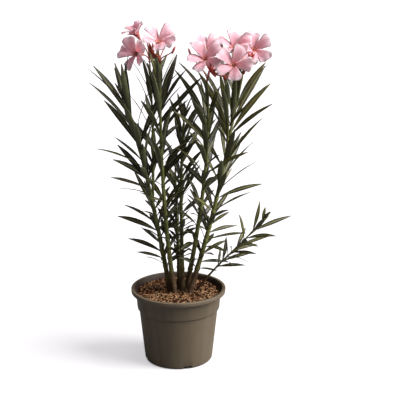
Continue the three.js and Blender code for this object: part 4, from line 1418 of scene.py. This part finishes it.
def pot_profile():
    """The pot's half outline as (radius, height): up the outside, over the lip, down inside."""
    p = POT
    wall, edge = p["wall"], p["lip_edge"]
    foot_round = p["foot_round"]
    profile = [(p["foot"] - foot_round * (1 - sine), foot_round * (1 - cosine))
               for sine, cosine in quarter(p["foot_steps"])]
    for i in range(1, p["wall_steps"] + 1):
        share = i / p["wall_steps"]
        profile.append((mix(p["foot"], p["shoulder"], share), mix(foot_round, p["shoulder_z"], share)))
    profile += [
        (p["collar_low"], p["collar_low_z"]),
        (p["collar_top"], p["lip_under"]),
        (p["lip"] - p["lip_draft"], p["lip_under"])]
    profile += [(p["lip"] - edge * (1 - cosine), p["height"] - edge + edge * sine)
                for sine, cosine in quarter(p["lip_steps"])]
    profile += [
        (p["lip"] - (p["lip_draft"] + edge), p["height"]),
        (p["mouth"] + edge, p["height"]),
        (p["mouth"], p["height"] - edge),
        (p["collar_top"] - wall, p["lip_under"]),
        (p["collar_low"] - wall, p["collar_low_z"] + wall),
        (p["shoulder"] - wall, p["shoulder_z"]),
        (p["foot"] - wall, p["floor"] + wall),
        (p["foot"] - 2 * wall, p["floor"])]
    return profile


def settle(piece):
    """Puts a piece's place, turn and size into its mesh."""
    bpy.ops.object.select_all(action="DESELECT")
    piece.select_set(True)
    bpy.context.view_layer.objects.active = piece
    bpy.ops.object.transform_apply(location=True, rotation=True, scale=True)


def apply_modifier(piece, kind, **settings):
    """Puts a modifier on a piece and applies it."""
    bpy.context.view_layer.objects.active = piece
    modifier = piece.modifiers.new(kind.title(), kind)
    for key, value in settings.items():
        setattr(modifier, key, value)
    bpy.ops.object.modifier_apply(modifier=modifier.name)


class OLEANDER_OT_pot(bpy.types.Operator):
    """Draws the pot up from a disc, over its lip and down inside, and cuts the notches in its foot"""
    bl_idname = "oleander.pot"
    bl_label = "Pot"

    def execute(self, context):
        s = context.scene.oleander_pot
        profile = pot_profile()
        bpy.ops.object.select_all(action="DESELECT")
        bpy.ops.mesh.primitive_circle_add(vertices=s.sides, radius=profile[0][0] * MM, fill_type="NGON")
        pot = context.active_object
        pot.name = pot.data.name = "nursery_pot"
        bpy.ops.object.mode_set(mode="EDIT")
        bpy.ops.mesh.select_all(action="SELECT")
        for (radius, height), (wider, higher) in zip(profile, profile[1:]):
            bpy.ops.mesh.extrude_region_move(TRANSFORM_OT_translate={"value": (0, 0, (higher - height) * MM)})
            grow = wider / radius
            bpy.ops.transform.resize(value=(grow, grow, 1), center_override=(0, 0, higher * MM))
        bpy.ops.mesh.select_all(action="SELECT")
        bpy.ops.mesh.normals_make_consistent(inside=False)
        bpy.ops.object.mode_set(mode="OBJECT")
        for i in range(DRAIN["count"]):
            self.cut_notch(pot, math.radians(DRAIN["first"] + 360 / DRAIN["count"] * i))
        apply_modifier(pot, "BEVEL", width=s.edge, segments=POT["bevel_steps"], limit_method="ANGLE",
                       angle_limit=math.radians(POT["bevel_over"]))
        settle(pot)
        bpy.ops.object.shade_smooth_by_angle(angle=math.radians(POT["smooth_under"]))
        pot.data.materials.append(pot_finish("Pot plastic", tuple(s.colour), s.roughness))
        dressed(pot, "pot", "pot")
        return {"FINISHED"}

    def cut_notch(self, pot, angle):
        """Cuts one drain notch through the foot, from the reach of its inner end outwards."""
        length = POT["foot"] * 2
        middle = (DRAIN["reach"] + length / 2) * MM
        place = (middle * math.cos(angle), middle * math.sin(angle), 0)
        bpy.ops.mesh.primitive_cube_add(size=1, location=place, rotation=(0, 0, angle))
        cutter = bpy.context.active_object
        cutter.scale = (length * MM, DRAIN["width"] * MM, DRAIN["height"] * 2 * MM)
        settle(cutter)
        apply_modifier(pot, "BOOLEAN", object=cutter, operation="DIFFERENCE", solver="EXACT")
        bpy.data.objects.remove(cutter)


class OLEANDER_OT_mix(bpy.types.Operator):
    """Fills the pot with a rough bed, and strews chips and curled fibres on it"""
    bl_idname = "oleander.mix"
    bl_label = "Potting mix"

    def execute(self, context):
        s = context.scene.oleander_mix
        canes, _, _ = grow_plant()
        feet = [stem.points[0] for name, stem in canes.items() if "foot" in CANES[name]]
        bpy.ops.object.select_all(action="DESELECT")
        bpy.ops.mesh.primitive_cone_add(vertices=BED["sides"], radius1=BED["low"] * MM, radius2=MIX_EDGE * MM,
                                        depth=BED["depth"] * MM, end_fill_type="NGON",
                                        location=(0, 0, (MIX_TOP - BED["depth"] / 2) * MM))
        bed = context.active_object
        bed.name = bed.data.name = "potting_bed"
        settle(bed)
        for face in bed.data.polygons:
            face.select = face.normal.z > BED["faces_up"]
        bpy.ops.object.mode_set(mode="EDIT")
        bpy.ops.mesh.select_mode(type="FACE")
        for _ in range(BED["rings"]):
            bpy.ops.mesh.inset(thickness=MIX_EDGE * MM / (BED["rings"] + 1))
        bpy.ops.mesh.poke()
        bpy.ops.object.mode_set(mode="OBJECT")
        for vertex in bed.data.vertices:
            if vertex.co.z > (MIX_TOP - 1) * MM:
                vertex.co.z = bed_height(vertex.co.x / MM, vertex.co.y / MM) * MM
        bpy.ops.object.shade_smooth_by_angle(angle=math.radians(BED["smooth_under"]))
        bed.data.materials.append(plain_finish("Fine mix", s.soil))
        dressed(bed, "mix", "potting_mix")
        litter = Bundle()
        draw = stream(LITTER_SEED)
        g = CHIP
        for _ in range(s.chips):
            x, y = scattered(draw, feet, MIX_EDGE - g["margin"])
            place = np.array([x, y, bed_height(x, y) + drawn(g["lie"], draw())])
            big = draw() ** g["rarity"]
            slot = DARK_BARK if draw() < g["dark"] else PALE_WOOD
            length, width = drawn(g["length"], big), drawn(g["width"], big)
            add_chip(litter, place, draw, slot, length, width, drawn(g["thick"], draw()))
        g = FIBRE
        for _ in range(s.fibres):
            x, y = scattered(draw, feet, MIX_EDGE - g["margin"])
            place = np.array([x, y, bed_height(x, y) + drawn(g["lie"], draw())])
            length, radius = drawn(g["length"], draw()), drawn(g["radius"], draw())
            add_fibre(litter, place, draw, COIR, length, radius)
        looks = [plain_finish("Dark bark", s.bark), plain_finish("Pale wood", s.wood),
                 plain_finish("Coir fibre", s.coir)]
        dressed(litter.make("chips_and_fibres", looks), "mix")
        return {"FINISHED"}


class OLEANDER_OT_canes(bpy.types.Operator):
    """Draws every cane and side shoot, with knots, leaf scars and a flared foot"""
    bl_idname = "oleander.canes"
    bl_label = "Canes"

    def execute(self, context):
        s = context.scene.oleander_canes
        canes, _, _ = grow_plant()
        wood = Bundle(MIX_TOP)
        draw = stream(CANE_SEED)
        for name, stem in canes.items():
            add_cane(wood, name, stem, draw)
        piece = wood.make("canes", [bark_finish("Bark", tuple(s.foot), tuple(s.middle), tuple(s.tip))])
        dressed(piece, "cane", *[f"cane_{name}" for name in canes if "foot" in CANES[name]])
        return {"FINISHED"}


class OLEANDER_OT_leaves(bpy.types.Operator):
    """Makes the leaves of each mass as one piece, with their tints dealt out by ripeness, chance and painted
    light, lighter further right
    """
    bl_idname = "oleander.leaves"
    bl_label = "Leaves"

    def execute(self, context):
        s = context.scene.oleander_leaves
        tints = (s.darkest, s.dark, s.middling, s.young)
        rib_colour = tuple(s.rib)
        looks = [leaf_finish(f"Leaf {i + 1}", tuple(tint), VEINS["above"]) for i, tint in enumerate(tints)]
        looks.append(rib_finish("Rib dull", shade(rib_colour, DULL_RIB)))
        looks.append(rib_finish("Rib bright", rib_colour))
        looks.append(leaf_finish("Leaf underside", tuple(s.underside), VEINS["below"]))
        dull, bright, underside = range(len(tints), len(looks))
        _, _, leaves = grow_plant()
        for name, mass in MASSES.items():
            foliage = Bundle(MIX_TOP)
            draw = stream(mass[SEED] + TINT_SEED)
            for leaf in leaves[name]:
                # The tint goes by ripeness and chance, and by painted light and shade: lighter further right,
                # towards the key light, and darker further left.
                age_and_painted_light = (leaf.ripeness * TINT["ripeness"] + leaf.root[0] / TINT["width"]
                       + TINT["chance"] * draw() - TINT["start"])
                tint = min(max(int(age_and_painted_light), 0), len(tints) - 1)
                rib = bright if tint >= TINT["bright_from"] else dull
                add_leaf(foliage, leaf, (tint, rib, underside), draw)
            piece = foliage.make(f"foliage_{name}", looks)
            dressed(piece, "leaf", f"leaves_{name}")
        return {"FINISHED"}


class OLEANDER_OT_blossom(bpy.types.Operator):
    """Makes each cluster of open flowers, buds and cups on its stalks as one piece"""
    bl_idname = "oleander.blossom"
    bl_label = "Blossom"

    def execute(self, context):
        s = context.scene.oleander_blossom
        pale, pink, throat = tuple(s.pale), tuple(s.pink), tuple(s.throat)
        back = shade(pale, BACK_TONES["pale"]), shade(pink, BACK_TONES["pink"])
        looks = [
            petal_finish("Petal face", pale, pink, throat, STREAKS["face"]),
            petal_finish("Petal back", *back, throat, STREAKS["back"]),
            plain_finish("Flower throat", throat),
            plain_finish("Throat fringe", shade(pink, FRINGE_TONE)),
            plain_finish("Stamens", s.stamen),
            plain_finish("Bud", s.bud),
            plain_finish("Flower stalk", s.stalk),
            plain_finish("Sepal", s.sepal)]
        _, clusters, _ = grow_plant()
        for number, (name, cluster) in enumerate(clusters.items()):
            bundle = Bundle(MIX_TOP)
            add_cluster(bundle, cluster, stream(BLOSSOM_SEED + number))
            piece = bundle.make(f"flowers_{name}", looks)
            dressed(piece, "petal", f"blossom_{name}")
        return {"FINISHED"}


class OLEANDER_OT_stage(bpy.types.Operator):
    """Lays the pale floor, and sets the lights and the camera"""
    bl_idname = "oleander.stage"
    bl_label = "Stage"

    def execute(self, context):
        s = context.scene.oleander_stage
        bpy.ops.object.select_all(action="DESELECT")
        bpy.ops.mesh.primitive_grid_add(x_subdivisions=FLOOR["cuts"], y_subdivisions=FLOOR["cuts"],
                                        size=FLOOR["size"])
        floor = context.active_object
        floor.name = "floor"
        floor.data.materials.append(floor_finish("Floor", tuple(s.floor), s.bounce, s.glow, s.takes))
        for name, strength, aim in (("key", s.key, KEY), ("top", s.top, TOP)):
            light = bpy.data.lights.new(name, "SUN")
            light.energy, light.angle = strength, math.radians(aim["spread"])
            holder = bpy.data.objects.new(name, light)
            holder.rotation_euler = (math.radians(aim["tilt"]), 0, math.radians(aim["turn"]))
            context.collection.objects.link(holder)
        world = bpy.data.worlds.new("Studio")
        world.use_nodes = True
        background = world.node_tree.nodes["Background"]
        background.inputs["Color"].default_value = BACKDROP
        studio = Tree(world.node_tree)
        seen = studio.add("LightPath").outputs["Is Camera Ray"]
        studio.put(background.inputs["Strength"], studio.math("MAXIMUM", seen, s.fill))
        context.scene.world = world
        camera = bpy.data.cameras.new("camera")
        camera.lens, camera.sensor_width = CAMERA["lens"], CAMERA["sensor"]
        camera.clip_end = CAMERA["far"]
        holder = bpy.data.objects.new("camera", camera)
        holder.location = CAMERA["place"]
        holder.rotation_euler = (math.radians(90 - CAMERA["pitch"]), 0, 0)
        context.collection.objects.link(holder)
        context.scene.camera = holder
        context.scene.view_settings.view_transform = "Standard"
        return {"FINISHED"}


OPERATORS = (OLEANDER_OT_pot, OLEANDER_OT_mix, OLEANDER_OT_canes, OLEANDER_OT_leaves, OLEANDER_OT_blossom,
             OLEANDER_OT_stage)


class OLEANDER_PT_sidebar(bpy.types.Panel):
    """Lists the oleander's pieces and what can be changed on each"""
    bl_idname = "OLEANDER_PT_sidebar"
    bl_label = "Potted Oleander"
    bl_space_type = "VIEW_3D"
    bl_region_type = "UI"
    bl_category = "Oleander"

    def draw(self, context):
        for operator, (settings, group) in zip(OPERATORS, SETTINGS.items()):
            box = self.layout.box()
            for name in group.__annotations__:
                box.prop(getattr(context.scene, settings), name)
            box.operator(operator.bl_idname)


CLASSES = (*SETTINGS.values(), *OPERATORS, OLEANDER_PT_sidebar)


def register():
    for each in CLASSES:
        bpy.utils.register_class(each)
    for name, group in SETTINGS.items():
        setattr(bpy.types.Scene, name, bpy.props.PointerProperty(type=group))


def unregister():
    for name in SETTINGS:
        delattr(bpy.types.Scene, name)
    for each in reversed(CLASSES):
        bpy.utils.unregister_class(each)


def main():
    register()
    bpy.ops.oleander.pot()
    bpy.ops.oleander.mix()
    bpy.ops.oleander.canes()
    bpy.ops.oleander.leaves()
    bpy.ops.oleander.blossom()
    bpy.ops.oleander.stage()


if __name__ == "__main__":
    main()
